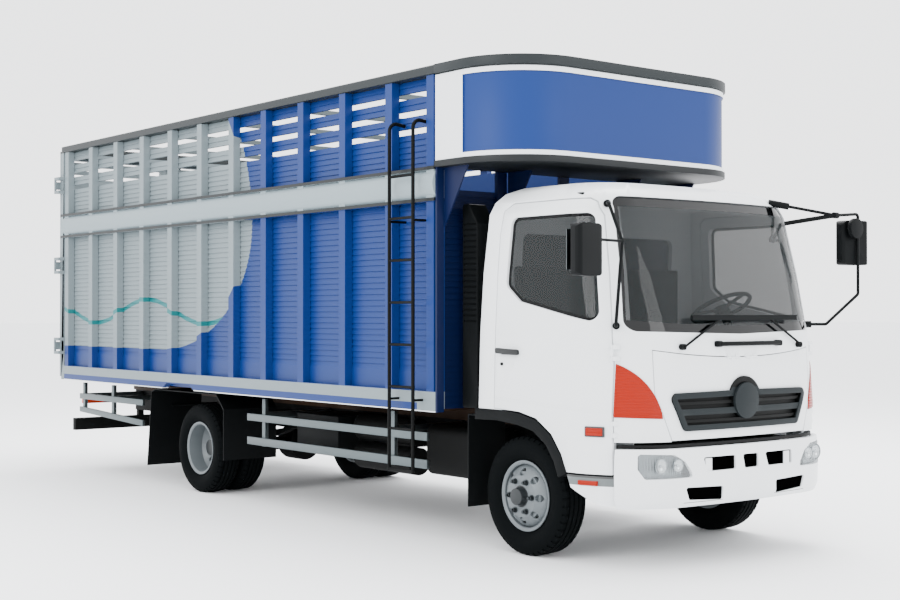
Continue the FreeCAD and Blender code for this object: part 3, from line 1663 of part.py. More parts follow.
def rear_mudguards():
    """Right rear guard: a folded sheet over the twin wheels with a hanging flap."""
    outer = spots(rear_sheet_shares, rear_sheet_front_y, rear_sheet_rear_y, rear_flap_low_z, rear_sheet_high_z)
    half = len(outer) // 2
    inner = [(y + rear_sheet_wall if i < half else y - rear_sheet_wall, z if z < rear_sheet_low_z + overrun
              else z - rear_sheet_wall) for i, (y, z) in enumerate(outer)]
    sheet = side_prism(outer + inner[::-1], -rear_guard_x, -rear_guard_inner_x)
    stays = [rod((-rail_x, y, rear_stay_z), (-rear_stay_x, y, rear_stay_z), rear_stay_radius)
             for y in rear_stay_places]
    return pair(join([sheet] + stays))


tank_inner_x = 480
tank_outer_x = 1000
tank_low_z = 360
tank_high_z = 820
tank_front_y = 1700
tank_length = 1150
tank_round = 90
tank_straps = (1900, 2600)
strap_width = 50
strap_low_z = 600
strap_high_z = 780
strap_hold = 20


def fuel_tank():
    corners = [(x, tank_front_y, z) for x, z in rectangle(tank_inner_x, tank_outer_x, tank_low_z, tank_high_z)]
    tank = rounded_prism(corners, tank_round, Vector(0, tank_length, 0))
    straps = [box(rail_x, tank_inner_x + strap_hold, y, y + strap_width, strap_low_z, strap_high_z)
              for y in tank_straps]
    return join([tank] + straps)


battery_outer_x = 980
battery_inner_x = 520
battery_front_y = 2250
battery_rear_y = 2850
battery_low_z = 480
battery_high_z = 800
carrier_margin = 50
carrier_low_z = 620
carrier_high_z = 760


def battery_box():
    return join([box(-battery_outer_x, -battery_inner_x, battery_front_y, battery_rear_y, battery_low_z,
                     battery_high_z),
                 box(-battery_inner_x, -rail_x, battery_front_y + carrier_margin, battery_rear_y - carrier_margin,
                     carrier_low_z, carrier_high_z)])


air_tank_x = 800
air_tank_radius = 105
air_tank_heights = (500, 720)
air_tank_front_y = 1420
air_tank_rear_y = 2150
air_tank_straps = (1500, 2020)


def air_tanks():
    tanks = [rod((-air_tank_x, air_tank_front_y, z), (-air_tank_x, air_tank_rear_y, z), air_tank_radius)
             for z in air_tank_heights]
    return join(tanks + [box(-air_tank_x, -rail_x, y, y + strap_width, strap_low_z, carrier_high_z)
                         for y in air_tank_straps])


exhaust_outer_x = 900
exhaust_inner_x = 520
exhaust_low_z = 430
exhaust_high_z = 800
exhaust_front_y = 640
exhaust_length = 560
exhaust_round = 70
exhaust_straps = (700, 1080)
exhaust_strap_width = 60


def exhaust():
    corners = [(x, exhaust_front_y, z)
               for x, z in rectangle(-exhaust_outer_x, -exhaust_inner_x, exhaust_low_z, exhaust_high_z)]
    body = rounded_prism(corners, exhaust_round, Vector(0, exhaust_length, 0))
    return join([body] + [box(-exhaust_inner_x, -rail_x, y, y + exhaust_strap_width, carrier_low_z, carrier_high_z)
                          for y in exhaust_straps])


flare_width = 78
flare_proud = 4
flare_depth = 46
flare_overhang = 40
flare_rear_y = cab_rear_y + flare_overhang
flare_rear_height = 78
liner_wall = 8
guard_inner_x = 740
flap_outer_x = 1075
flap_front_y = 500
flap_wall = 10
flap_low_z = 280
flap_drop = 60
flap_high_z = arch_top_z - flap_drop


def towards_axle(points, distance):
    """The points moved straight towards the front axle, or away from it by a negative distance."""
    moved = []
    for y, z in points:
        length = math.hypot(y, z - axle_height)
        k = (length - distance) / length
        moved.append((y * k, axle_height + (z - axle_height) * k))
    return moved


def front_mudguard():
    """Right wheel-arch flare under the door's edge, with the liner and the flap behind the wheel."""
    rear = (flare_rear_y, arch_top_z - arch_gap)
    outer = [rear] + [(y, z - arch_gap) for y, z in arch_points]
    inner = towards_axle(outer[::-1], flare_width)
    inner[-1] = (flare_rear_y, rear[1] - flare_rear_height)
    flare = side_prism(outer + inner, -cab_half_width - flare_proud, -cab_half_width + flare_depth)
    liner = side_prism(inner + towards_axle(inner[::-1], -liner_wall), -cab_half_width + flare_depth, -guard_inner_x)
    flap = box(-flap_outer_x, -guard_inner_x, flap_front_y, flap_front_y + flap_wall, flap_low_z, flap_high_z)
    top = box(-flap_outer_x, -guard_inner_x, cab_rear_y + overrun, flap_front_y + flap_wall, flap_high_z - flap_wall,
              flap_high_z)
    return join([flare, liner, flap, top])


duct_outer_x = 1020
duct_inner_x = 870
duct_front_y = 470
duct_rear_y = 630
duct_low_z = 960
duct_high_z = 2390
duct_shares = ((0, 0), (1, 0), (1, 1), (0.5625, 1), (0, 0.902))
duct_round = 20
duct_groove_depth = 12
duct_groove_height = 14
duct_groove_margin = 10
duct_groove_pitch = 40
duct_groove_count = 18
duct_groove_start = 1560
duct_bracket_width = 30
duct_bracket_height = 60
duct_bracket_x = 960
duct_brackets = (1500, 2100)


def intake():
    points = spots(duct_shares, duct_front_y, duct_rear_y, duct_low_z, duct_high_z)
    duct = side_rounded(points, duct_round, -duct_outer_x, -duct_inner_x)
    grooves = []
    for i in range(duct_groove_count):
        z = duct_groove_start + i * duct_groove_pitch
        grooves.append(box(-duct_outer_x - overrun, -duct_outer_x + duct_groove_depth,
                           duct_front_y + duct_groove_margin, duct_rear_y - duct_groove_margin, z,
                           z + duct_groove_height))
    wall = body_front_y + clad_face - seat_gap
    brackets = [box(-duct_bracket_x, -duct_bracket_x + duct_bracket_width, duct_rear_y - duct_bracket_width, wall, z,
                    z + duct_bracket_height) for z in duct_brackets]
    return join([duct.cut(grooves)] + brackets)


# Mirrors and wipers

mirror_radius = 11
mirror_bend = 24
mirror_out = 120
mirror_foot_z = 1545
mirror_top_z = 2325
mirror_top_turn_share = 0.40
mirror_foot_turn_share = 0.50
foot_radius = 24
foot_share = 0.3
head_inner_x = 1200
head_outer_x = 1459
head_front_y = -1000
head_rear_y = -870
head_corner = 55
head_edge = 30
head_height = 320
right_head_z = 1850
left_head_z = 1970
head_shares = ((0, 0), (1, 0.38), (0.98, 1), (0.08, 0.77))
stub_radius = 9
stub_height_share = 0.7
foot_out_share = 0.5
left_arm_x = 1320
left_arm_z = 2335
left_elbow_z = 1760
left_foot_out = 150
fork_x = 1057
fork_root_radius = 16
fork_ball_radius = 22
fork_y = -990
fork_z = 2315
fork_root_x = 700
fork_root_z = 2405
fork_low_turn_share = 0.25
fork_low_z = 2260
round_mirror_radius = 72
round_mirror_wall = 22
round_mirror_x = 1270
round_mirror_drop = 60


def mirror_head(low_z):
    """A head with rounded corners, its back and glass slightly turned."""
    outline = plan_rounded(spots(head_shares, -head_outer_x, -head_inner_x, head_front_y, head_rear_y), head_edge,
                           low_z, low_z + head_height)
    face = front_rounded(rectangle(-head_outer_x, -head_inner_x, low_z, low_z + head_height), head_corner,
                         head_front_y, head_rear_y)
    return outline.common(face)


def mirror_foot(spot, out):
    return rod(spot, spot + (out - spot) * foot_share, foot_radius)


def right_mirror():
    """A tube along the windscreen pillar, and the head on a stub behind it."""
    top = corner_spot(mirror_top_z, mirror_top_turn_share, seat_gap)
    foot = corner_spot(mirror_foot_z, mirror_foot_turn_share, seat_gap)
    top_out = corner_spot(mirror_top_z, mirror_top_turn_share, mirror_out)
    foot_out = corner_spot(mirror_foot_z, mirror_foot_turn_share, mirror_out * foot_out_share)
    elbow = Vector(top_out.x, top_out.y - mirror_out, right_head_z + head_height * stub_height_share)
    arm = tube([top, top_out, elbow, foot_out, foot], mirror_radius, mirror_bend)
    stub = rod(elbow, (-head_inner_x - head_edge, (head_front_y + head_rear_y) / 2, elbow.z), stub_radius)
    parts = [arm, mirror_head(right_head_z), stub, mirror_foot(top, top_out), mirror_foot(foot, foot_out)]
    return cut(join(parts), [cab_form(-seat_gap)])


def left_mirror():
    """A wide loop from a forked bracket above the windscreen, with a large head and a small round one."""
    high = front_spot(-fork_root_x, fork_root_z, seat_gap)
    low = corner_spot(fork_low_z, fork_low_turn_share, seat_gap)
    joint = Vector(-fork_x, fork_y, fork_z)
    foot = corner_spot(mirror_foot_z, mirror_foot_turn_share, seat_gap)
    foot_out = corner_spot(mirror_foot_z, mirror_foot_turn_share, left_foot_out)
    arm = tube([joint, (-left_arm_x, fork_y, left_arm_z), (-left_arm_x, fork_y, left_elbow_z), foot_out, foot],
               mirror_radius, mirror_bend)
    ball = rod(joint - Vector(fork_ball_radius, 0, 0), joint + Vector(fork_ball_radius, 0, 0), fork_ball_radius)
    forks = [rod(high, joint, mirror_radius), rod(low, joint, fork_root_radius)]
    middle_z = left_head_z + head_height / 2
    forks.append(rod((-left_arm_x, fork_y, middle_z), (-left_arm_x, (head_front_y + head_rear_y) / 2, middle_z),
                     stub_radius))
    round_z = left_head_z + head_height - round_mirror_drop
    round_mirror = rod((-round_mirror_x, head_front_y - round_mirror_wall, round_z), (-round_mirror_x, fork_y, round_z),
                       round_mirror_radius)
    parts = [arm, ball, mirror_head(left_head_z), round_mirror, mirror_foot(high, joint), mirror_foot(foot, foot_out)]
    return left(cut(join(parts + forks), [cab_form(-seat_gap)]))


wiper_root_z = 1410
wiper_blade_z = 1600
wiper_out = 34
blade_out = 24
wiper_boss_radius = 20
wiper_arm_radius = 8
blade_half = 300
blade_rise = 12
blade_wall = 9
blade_height = 22
# pivot x and the blade's middle x
wiper_places = ((-560, -170), (620, 290))


def wipers():
    """Two wipers: spindle on the panel below the windscreen, arm and a level blade close to the glass."""
    solids = []
    for x, middle in wiper_places:
        root = front_spot(x, wiper_root_z, lid_hinge_proud)
        end = front_spot(x, wiper_root_z, wiper_out)
        top = front_spot(middle, wiper_blade_z, blade_out)
        blade = box(middle - blade_half, middle + blade_half, top.y - blade_wall, top.y + blade_wall,
                    wiper_blade_z - blade_height, wiper_blade_z + blade_rise)
        parts = [rod(root, end, wiper_boss_radius), rod(end, top, wiper_arm_radius), blade]
        solids.append(cut(join(parts), [cab_form(-seat_gap)]))
    return solids


# Assembly

front_reach = bumper_front_y
rear_reach = body_rear_y + rear_door_wall + lock_bar_proud + lock_bar_radius
centre_shift = Vector(0, -(front_reach + rear_reach) / 2, 0)


def save(name, solids):
    """Moves the piece to the shared origin and writes it."""
    whole = solids[0] if len(solids) == 1 else Part.makeCompound(solids)
    placed = whole.translated(centre_shift)
    placed.exportStep("parts/" + name + ".step")
    bounds = placed.BoundBox
    print(name, len(placed.Solids), placed.isValid(), round(placed.Volume / 1e6, 1),
          [round(v) for v in (bounds.XMin, bounds.XMax, bounds.YMin, bounds.YMax, bounds.ZMin, bounds.ZMax)])


def main():
    os.makedirs("parts", exist_ok=True)
    save("chassis_frame", [chassis_frame()])
    save("engine_block", [engine_block()])
    save("prop_shaft", [prop_shaft()])
    save("front_axle", [front_axle()])
    save("rear_axle", [rear_axle()])
    save("leaf_springs", springs())
    save("fuel_tank", [fuel_tank()])
    save("battery_box", [battery_box()])
    save("air_tanks", [air_tanks()])
    save("exhaust", [exhaust()])
    guards = side_guards()
    save("side_guards", guards + [left(g) for g in guards])
    save("under_run_bar", [under_run_bar()])
    save("rear_lamps", rear_lamps())
    save("rear_mudguards", rear_mudguards())
    save("cab_shell", [cab_shell()])
    save("cab_floor", [cab_floor()])
    save("cab_glass", [windscreen()] + rear_glass())
    save("front_bumper", [bumper()])
    save("headlamps", headlamps())
    save("turn_lamps", turn_lamps())
    save("cab_steps", pair(cab_step()))
    save("front_mudguards", pair(front_mudguard()))
    save("mirrors", [right_mirror(), left_mirror()])
    save("wipers", wipers())
    save("dashboard", [dashboard()])
    save("steering_wheel", [steering_wheel()])
    save("driver_seat", seat(driver_cushion, driver_base))
    save("passenger_seat", seat(passenger_cushion, passenger_base))
    save("intake_duct", [intake()])
    save("cargo_floor", [cargo_floor()])
    panels = side_panels()
    frame = side_frame()
    save("cargo_panels_right", panels)
    save("cargo_panels_left", [left(p) for p in panels])
    save("cargo_frame_right", [frame])
    save("cargo_frame_left", [left(frame)])
    save("cargo_front_wall", front_wall())
    save("rear_portal", [rear_portal()])
    save("cab_peak", [peak()])
    save("peak_brackets", gussets())
    save("roof_bows", roof_bows())
    save("ladder", [ladder()])
    save("service_lid", [service_lid()])
    save("grille", [grille()])
    for side, place in (("right", lambda s: s), ("left", left)):
        save("cab_door_" + side, [place(cab_door())])
        save("door_glass_" + side, [place(door_glass())])
        save("cargo_door_" + side, [place(rear_door())])
        save("knuckle_" + side, [place(knuckle())])
        save("front_rim_" + side, [place(front_rim())])
        save("front_tyre_" + side, [place(tyre(-front_wheel_x, 0))])
        save("rear_rims_" + side, [place(rear_rims())])
        save("rear_tyres_" + side, [place(tyre(-x, wheelbase)) for x in (rear_outer_x, rear_inner_x)])


main()
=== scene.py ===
# %% [markdown]
# # A decorated truck, dressed for its portrait
# The truck's hard parts come from the CAD model as a fixed frame, in metres, with the ground at zero,
# the nose towards minus Y and the steering wheel on the plus X side. This lesson paints them, softens
# their edges and adds what a model for machining leaves out: tread, wheel nuts, seals, lamp bowls and
# cushions.

# %% Load the frame
import json
import math

import bmesh
import bpy
from mathutils import Matrix, Vector

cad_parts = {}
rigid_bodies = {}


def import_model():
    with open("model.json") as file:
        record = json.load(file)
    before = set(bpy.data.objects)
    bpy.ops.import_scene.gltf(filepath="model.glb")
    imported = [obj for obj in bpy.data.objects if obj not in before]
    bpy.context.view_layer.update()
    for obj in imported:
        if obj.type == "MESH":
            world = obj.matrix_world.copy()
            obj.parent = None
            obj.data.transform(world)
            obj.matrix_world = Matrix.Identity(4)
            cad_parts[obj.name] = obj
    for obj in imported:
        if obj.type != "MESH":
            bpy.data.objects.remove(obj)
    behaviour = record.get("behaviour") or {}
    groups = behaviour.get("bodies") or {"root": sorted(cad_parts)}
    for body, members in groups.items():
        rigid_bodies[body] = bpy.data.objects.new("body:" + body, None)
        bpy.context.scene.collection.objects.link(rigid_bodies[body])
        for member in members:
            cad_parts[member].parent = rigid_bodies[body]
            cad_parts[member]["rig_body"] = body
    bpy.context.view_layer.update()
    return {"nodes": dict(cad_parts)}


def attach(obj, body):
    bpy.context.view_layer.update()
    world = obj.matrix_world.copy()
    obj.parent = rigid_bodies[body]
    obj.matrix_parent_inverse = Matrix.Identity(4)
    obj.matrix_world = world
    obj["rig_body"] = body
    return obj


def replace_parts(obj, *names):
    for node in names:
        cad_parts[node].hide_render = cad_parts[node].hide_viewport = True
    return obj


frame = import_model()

# %% [markdown]
# Every operator works on what is selected, so a piece starts by clearing the selection. A finished
# piece has its place in its mesh and not in its object, which is what `settle` does, and it follows one
# body of the truck.

# %% Small helpers for modelling


def clear():
    """Leaves edit mode with nothing selected."""
    if bpy.context.object and bpy.context.object.mode != "OBJECT":
        bpy.ops.object.mode_set(mode="OBJECT")
    bpy.ops.object.select_all(action="DESELECT")


def take(piece):
    """Makes one piece the only selected and active one."""
    clear()
    piece.select_set(True)
    bpy.context.view_layer.objects.active = piece
    return piece


def settle(piece):
    """Moves the piece's place, turn and scale into its mesh."""
    take(piece)
    bpy.ops.object.transform_apply(location=True, rotation=True, scale=True)
    return piece


def apply_modifier(piece, kind, **settings):
    """Adds one modifier, sets it and applies it."""
    take(piece)
    bpy.ops.object.modifier_add(type=kind)
    modifier = piece.modifiers[-1]
    for name, value in settings.items():
        setattr(modifier, name, value)
    bpy.ops.object.modifier_apply(modifier=modifier.name)
    return piece


def round_corners(piece, width, angle, segments=2):
    """Rounds the edges whose faces meet at more than the angle, in degrees."""
    return apply_modifier(piece, "BEVEL", width=width, segments=segments, limit_method="ANGLE",
                          angle_limit=math.radians(angle))


def smooth(piece, angle=35):
    """Shades soft across faces that meet at less than the angle, in degrees."""
    take(piece)
    bpy.ops.object.shade_smooth_by_angle(angle=math.radians(angle))
    return piece


def join_pieces(pieces):
    """One mesh from several pieces."""
    clear()
    for piece in pieces:
        piece.select_set(True)
    bpy.context.view_layer.objects.active = pieces[0]
    if len(pieces) > 1:
        bpy.ops.object.join()
    return bpy.context.view_layer.objects.active


def copy_piece(piece, offset=(0, 0, 0), turn=None):
    """A copy with its own mesh, turned and then moved."""
    twin = bpy.data.objects.new(piece.name + "_copy", piece.data.copy())
    bpy.context.scene.collection.objects.link(twin)
    if turn:
        twin.data.transform(turn)
    twin.data.transform(Matrix.Translation(Vector(offset)))
    return twin


def finish_piece(piece, name, material, body):
    """Names the piece, paints it and hangs it on its body."""
    piece.name = name
    piece.data.name = name
    piece.data.materials.clear()
    piece.data.materials.append(material)
    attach(piece, body)
    return piece


def body_of_node(name):
    return frame["nodes"][name]["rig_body"]


def block(middle, size, edge, turn=0.0, segments=2):
    """A bar or plate at its place, turned about the upright, with rounded edges."""
    clear()
    bpy.ops.mesh.primitive_cube_add(size=1, location=middle, rotation=(0, 0, turn))
    piece = bpy.context.object
    piece.scale = size
    settle(piece)
    apply_modifier(piece, "BEVEL", width=edge, segments=segments, limit_method="NONE")
    return smooth(piece)


def bar(start, end, radius, edge=0.002, sides=20):
    """A round bar between two points with rounded ends."""
    first, last = Vector(start), Vector(end)
    way = last - first
    clear()
    turn = way.to_track_quat("Z", "Y").to_euler()
    bpy.ops.mesh.primitive_cylinder_add(vertices=sides, radius=radius, depth=way.length,
                                        location=(first + last) / 2, rotation=turn)
    piece = settle(bpy.context.object)
    round_corners(piece, edge, 50)
    return smooth(piece)


def spin_section(points, spot, axis, steps):
    """A section walked out by extruding its first point, then spun a full turn about the axis."""
    clear()
    bpy.ops.mesh.primitive_plane_add(size=0.01, location=points[0])
    piece = bpy.context.object
    bpy.ops.object.mode_set(mode="EDIT")
    bpy.ops.mesh.merge(type="CENTER")
    for before, after in zip(points, points[1:]):
        step = Vector(after) - Vector(before)
        bpy.ops.mesh.extrude_region_move(TRANSFORM_OT_translate={"value": step})
    bpy.ops.mesh.select_all(action="SELECT")
    bpy.ops.mesh.spin(steps=steps, angle=math.tau, center=spot, axis=axis)
    bpy.ops.mesh.select_all(action="SELECT")
    bpy.ops.mesh.remove_doubles(threshold=0.0001)
    bpy.ops.mesh.normals_make_consistent(inside=False)
    bpy.ops.object.mode_set(mode="OBJECT")
    return settle(piece)


def mirrored(piece):
    """The same piece for the other side of the truck."""
    twin = copy_piece(piece, turn=Matrix.Scale(-1, 4, (1, 0, 0)))
    take(twin)
    bpy.ops.object.mode_set(mode="EDIT")
    bpy.ops.mesh.select_all(action="SELECT")
    bpy.ops.mesh.normals_make_consistent(inside=False)
    bpy.ops.object.mode_set(mode="OBJECT")
    return twin


# %% [markdown]
# Paint and plastic are mixed as nodes. Colours are written as they are picked on a screen and turned
# into linear light by one function, and one small function adds a node with its settings and links.

# %% Helpers for materials


def linear(code):
    """An sRGB hex colour as linear light."""
    channels = [int(code[i:i + 2], 16) / 255 for i in (1, 3, 5)]
    return tuple(c / 12.92 if c <= 0.04045 else ((c + 0.055) / 1.055) ** 2.4 for c in channels) + (1.0,)


def add_node(tree, kind, sockets=None, **settings):
    """Adds a node, sets it, and fills its inputs with values or links."""
    made = tree.nodes.new("ShaderNode" + kind)
    for name, value in settings.items():
        setattr(made, name, value)
    for key, value in (sockets or {}).items():
        if isinstance(value, bpy.types.NodeSocket):
            tree.links.new(value, made.inputs[key])
        else:
            made.inputs[key].default_value = value
    return made


def calc(tree, operation, a, b=0.0, c=0.0):
    """One step of arithmetic on sockets or numbers."""
    return add_node(tree, "Math", {0: a, 1: b, 2: c}, operation=operation).outputs[0]


def between(tree, value, low, high):
    """1 where low < value < high."""
    above = calc(tree, "GREATER_THAN", value, low)
    below = calc(tree, "LESS_THAN", value, high)
    return calc(tree, "MULTIPLY", above, below)


def ramp(tree, value, width):
    """0 up to where the value is 0, and 1 from where it is the width."""
    share = calc(tree, "DIVIDE", value, width)
    return calc(tree, "MINIMUM", calc(tree, "MAXIMUM", share, 0.0), 1.0)


def new_material(name, color, roughness, metallic=0.0, **sockets):
    """A material with its even values set straight on the shader."""
    material = bpy.data.materials.new(name)
    material.use_nodes = True
    shader = material.node_tree.nodes["Principled BSDF"]
    shader.inputs["Base Color"].default_value = linear(color)
    shader.inputs["Roughness"].default_value = roughness
    shader.inputs["Metallic"].default_value = metallic
    for key, value in sockets.items():
        shader.inputs[key.replace("_", " ")].default_value = value
    return material


def place_axes(tree):
    """X, Y and Z of the point on the truck, in metres."""
    spot = add_node(tree, "TexCoord").outputs["Object"]
    return add_node(tree, "SeparateXYZ", {0: spot}).outputs


def paint_over(tree, base, mask, color):
    """Lays one flat colour over another where the mask is 1."""
    mix = add_node(tree, "Mix", {"Factor": mask, "B": linear(color)}, data_type="RGBA")
    if isinstance(base, bpy.types.NodeSocket):
        tree.links.new(base, mix.inputs["A"])
    else:
        mix.inputs["A"].default_value = linear(base)
    return mix.outputs["Result"]


def use_color(material, socket):
    tree = material.node_tree
    tree.links.new(socket, tree.nodes["Principled BSDF"].inputs["Base Color"])


def add_bump(material, height, strength, distance):
    """Fine relief: height runs from 0 to 1, distance is its real depth in metres."""
    tree = material.node_tree
    bump = add_node(tree, "Bump", {"Height": height, "Strength": strength, "Distance": distance})
    tree.links.new(bump.outputs[0], tree.nodes["Principled BSDF"].inputs["Normal"])


def grain(material, size, strength, depth):
    """An even moulded or sprayed grain with bumps of one size, in metres."""
    tree = material.node_tree
    spot = add_node(tree, "TexCoord").outputs["Object"]
    noise = add_node(tree, "TexNoise", {"Vector": spot, "Scale": 1 / size, "Detail": 2.0})
    add_bump(material, noise.outputs["Fac"], strength, depth)


# %% [markdown]
# The cab is steel sprayed with two-pack enamel and baked: a hard white under a clear gloss, with the
# faint waviness that spraying leaves. The body's blue is the same paint; the darker blue on the body's
# front wall and the peak's brackets, in the shade behind the cab, is painted shade. The peel of the
# spray is about 2 mm across, too fine to show here, so it is drawn at 12 mm and kept very weak.

# %% Plain finishes
BLUE = "#002560"
# the body's blue darkened: painted shade for blue parts in the shade behind the cab
SHADED_BLUE = "#000C30"
SILVER = "#6C777B"
WHITE = "#DDE0E2"
TEAL = "#0A6164"
DARK_TRIM = "#141A1C"
MOULDING = "#7C898E"
SEAM = "#0C1012"


def white_paint(name):
    """The cab's white gloss, which some pressings share with another colour."""
    return new_material(name, WHITE, 0.36, Coat_Weight=0.15, Coat_Roughness=0.08, Specular_IOR_Level=0.25)


white_enamel = white_paint("white_two_pack_enamel")
grain(white_enamel, 0.012, 0.03, 0.0004)
# the front wall and the peak's brackets take the darker blue, which is painted shade
shaded_blue_enamel = new_material("blue_two_pack_enamel_with_painted_shade", SHADED_BLUE, 0.5, Specular_IOR_Level=0.2)
chassis_enamel = new_material("black_chassis_enamel", "#050606", 0.6, Specular_IOR_Level=0.08)
grain(chassis_enamel, 0.02, 0.15, 0.0008)
moulded_black = new_material("moulded_black_polypropylene", "#060809", 0.55, Specular_IOR_Level=0.08)
grain(moulded_black, 0.004, 0.12, 0.0003)
trim_grey = new_material("moulded_grey_polypropylene", "#2A3032", 0.48, Specular_IOR_Level=0.3)
cabin_plastic = new_material("grained_grey_cabin_plastic", "#14181A", 0.6, Specular_IOR_Level=0.2)
grain(cabin_plastic, 0.005, 0.1, 0.0003)
tyre_rubber = new_material("vulcanised_tyre_rubber", "#050708", 0.8, Specular_IOR_Level=0.04)
grain(tyre_rubber, 0.008, 0.1, 0.0004)
seal_rubber = new_material("extruded_seal_rubber", "#050607", 0.6, Specular_IOR_Level=0.15)
bare_aluminium = new_material("mill_finish_aluminium_extrusion", "#5C6466", 0.45, 1.0)
grain(bare_aluminium, 0.006, 0.08, 0.0002)
zinc_steel = new_material("zinc_plated_steel", "#3C4042", 0.4, 1.0)
chrome = new_material("vapour_coated_reflector", "#A8ADAF", 0.12, 1.0)
deck_wood = new_material("oiled_hardwood_planks", "#2E1D10", 0.65, Specular_IOR_Level=0.2)
amber_lens = new_material("moulded_amber_acrylic", "#8C1600", 0.3, Specular_IOR_Level=0.15)
clear_lens = new_material("moulded_clear_polycarbonate", "#DDE3E6", 0.06, Alpha=0.16, Specular_IOR_Level=0.4)
fluted_reflector = new_material("fluted_vapour_coated_reflector", "#5E6669", 0.25, 0.85)
slot_shade_black = new_material("black_painted_shade_sheet", "#020202", 0.9, Specular_IOR_Level=0.0)
seat_cloth = new_material("woven_grey_seat_cloth", "#15191B", 0.9, Sheen_Weight=0.1, Specular_IOR_Level=0.1)
mirror_glass = new_material("silvered_mirror_glass", "#7C8486", 0.03, 1.0)


def ribs(material, axis, pitch, depth):
    """Straight ribs across one axis, as moulded in a lens or woven in a cloth."""
    tree = material.node_tree
    way = place_axes(tree)[axis]
    wave = calc(tree, "SINE", calc(tree, "MULTIPLY", way, math.tau / pitch))
    add_bump(material, wave, 1.0, depth)


ribs(amber_lens, 2, 0.019, 0.0025)
ribs(fluted_reflector, 0, 0.016, 0.002)
ribs(seat_cloth, 0, 0.006, 0.0006)
print("plain finishes", len(bpy.data.materials))

# %% [markdown]
# The long sides carry a painted decoration: a pale silver field whose nose bulges forward like a half
# ellipse, blue ahead of it and below it, a teal wave, and a silver stripe along the skirt. On a mesh
# this could be many cut faces. Worked out from the place on the truck it stays sharp on ribs and posts
# alike, and both sides match.

# %% The decorated side paint
MIDDLE = -3.021                     # the front axle stands this far from the middle of the truck
body_front = MIDDLE + 0.69
body_rear = MIDDLE + 7.065
bulge_middle = (MIDDLE + 4.91, 2.37)
bulge_reach = 1.62
bulge_drop = 1.085
bulge_rise = 1.60
wave_crest = MIDDLE + 5.22
wave_length = 2.22
wave_level = 1.64
wave_height = 0.112
wave_half_width = 0.021
stripe_low = 0.99
stripe_high = 1.072
moulding_low = 2.41
moulding_high = 2.655
lip = 0.024
seam_over = 0.004                   # the dark seam covers the moulding's upper corner too
corner_width = 0.21
rear_post = 0.075
skirt_white = 0.937
rail_low = 3.298


def side_decoration(name, blue, silver):
    material = new_material(name, blue, 0.42, Specular_IOR_Level=0.25)
    tree = material.node_tree
    x, y, z = place_axes(tree)
    ahead = calc(tree, "MINIMUM", calc(tree, "SUBTRACT", y, bulge_middle[0]), 0.0)
    forward = calc(tree, "DIVIDE", ahead, bulge_reach)
    rise = calc(tree, "SUBTRACT", z, bulge_middle[1])
    below = calc(tree, "DIVIDE", calc(tree, "MINIMUM", rise, 0.0), bulge_drop)
    above = calc(tree, "DIVIDE", calc(tree, "MAXIMUM", rise, 0.0), bulge_rise)
    square = calc(tree, "MULTIPLY", forward, forward)
    square = calc(tree, "MULTIPLY_ADD", below, below, square)
    square = calc(tree, "MULTIPLY_ADD", above, above, square)
    field = calc(tree, "LESS_THAN", square, 1.0)
    color = paint_over(tree, blue, field, silver)
    turn = calc(tree, "MULTIPLY", calc(tree, "SUBTRACT", y, wave_crest), math.tau / wave_length)
    crest = calc(tree, "MULTIPLY_ADD", calc(tree, "COSINE", turn), wave_height, wave_level)
    off = calc(tree, "ABSOLUTE", calc(tree, "SUBTRACT", z, crest))
    wave = calc(tree, "MULTIPLY", calc(tree, "LESS_THAN", off, wave_half_width), field)
    color = paint_over(tree, color, wave, TEAL)
    color = paint_over(tree, color, between(tree, z, stripe_low, stripe_high), silver)
    skirt = between(tree, z, 0.0, stripe_high)
    corner = calc(tree, "MULTIPLY", skirt, calc(tree, "LESS_THAN", y, body_front + corner_width))
    color = paint_over(tree, color, corner, silver)
    color = paint_over(tree, color, between(tree, z, 0.0, skirt_white), WHITE)
    color = paint_over(tree, color, calc(tree, "GREATER_THAN", y, body_rear - rear_post), silver)
    color = paint_over(tree, color, between(tree, z, moulding_low, moulding_high), MOULDING)
    color = paint_over(tree, color, between(tree, z, moulding_low, moulding_low + lip), SEAM)
    color = paint_over(tree, color, between(tree, z, moulding_high - lip, moulding_high + seam_over), SEAM)
    color = paint_over(tree, color, calc(tree, "GREATER_THAN", z, rail_low), DARK_TRIM)
    use_color(material, color)
    return material


side_paint = side_decoration("decorated_side_enamel", BLUE, SILVER)
print("side paint nodes", len(side_paint.node_tree.nodes))

# %% [markdown]
# The peak over the cab is one bent panel: blue, framed in white, with a white pillar where it meets the
# body and dark trims along its top and bottom edges. The underside is a darker blue, as it is in shade.

# %% The peak's paint
peak_trim_low = 2.690
peak_trim_high = 3.290
peak_white = 0.034
peak_pillar = MIDDLE + 0.39
peak_underside = 2.644
peak_inner_half = 1.16


def peak_enamel():
    material = new_material("framed_blue_peak_enamel", BLUE, 0.5, Specular_IOR_Level=0.25)
    tree = material.node_tree
    x, y, z = place_axes(tree)
    low = peak_trim_low + peak_white
    high = peak_trim_high - peak_white
    color = paint_over(tree, WHITE, between(tree, z, low, high), BLUE)
    color = paint_over(tree, color, calc(tree, "GREATER_THAN", y, peak_pillar), WHITE)
    color = paint_over(tree, color, calc(tree, "GREATER_THAN", z, peak_trim_high), DARK_TRIM)
    color = paint_over(tree, color, calc(tree, "LESS_THAN", z, peak_trim_low), SEAM)
    # painted shade: the underside inside the sides is painted a darker blue
    inboard = calc(tree, "LESS_THAN", calc(tree, "ABSOLUTE", x), peak_inner_half)
    under = calc(tree, "MULTIPLY", calc(tree, "LESS_THAN", z, peak_underside), inboard)
    color = paint_over(tree, color, under, SHADED_BLUE)
    use_color(material, color)
    return material


peak_paint = peak_enamel()

# %% [markdown]
# The windows are float glass tinted grey-green. A windscreen is bonded in, and a black baked band round
# its edge hides the glue, so the band is drawn on the glass itself. The alpha lets the cabin show as it
# does from outside.

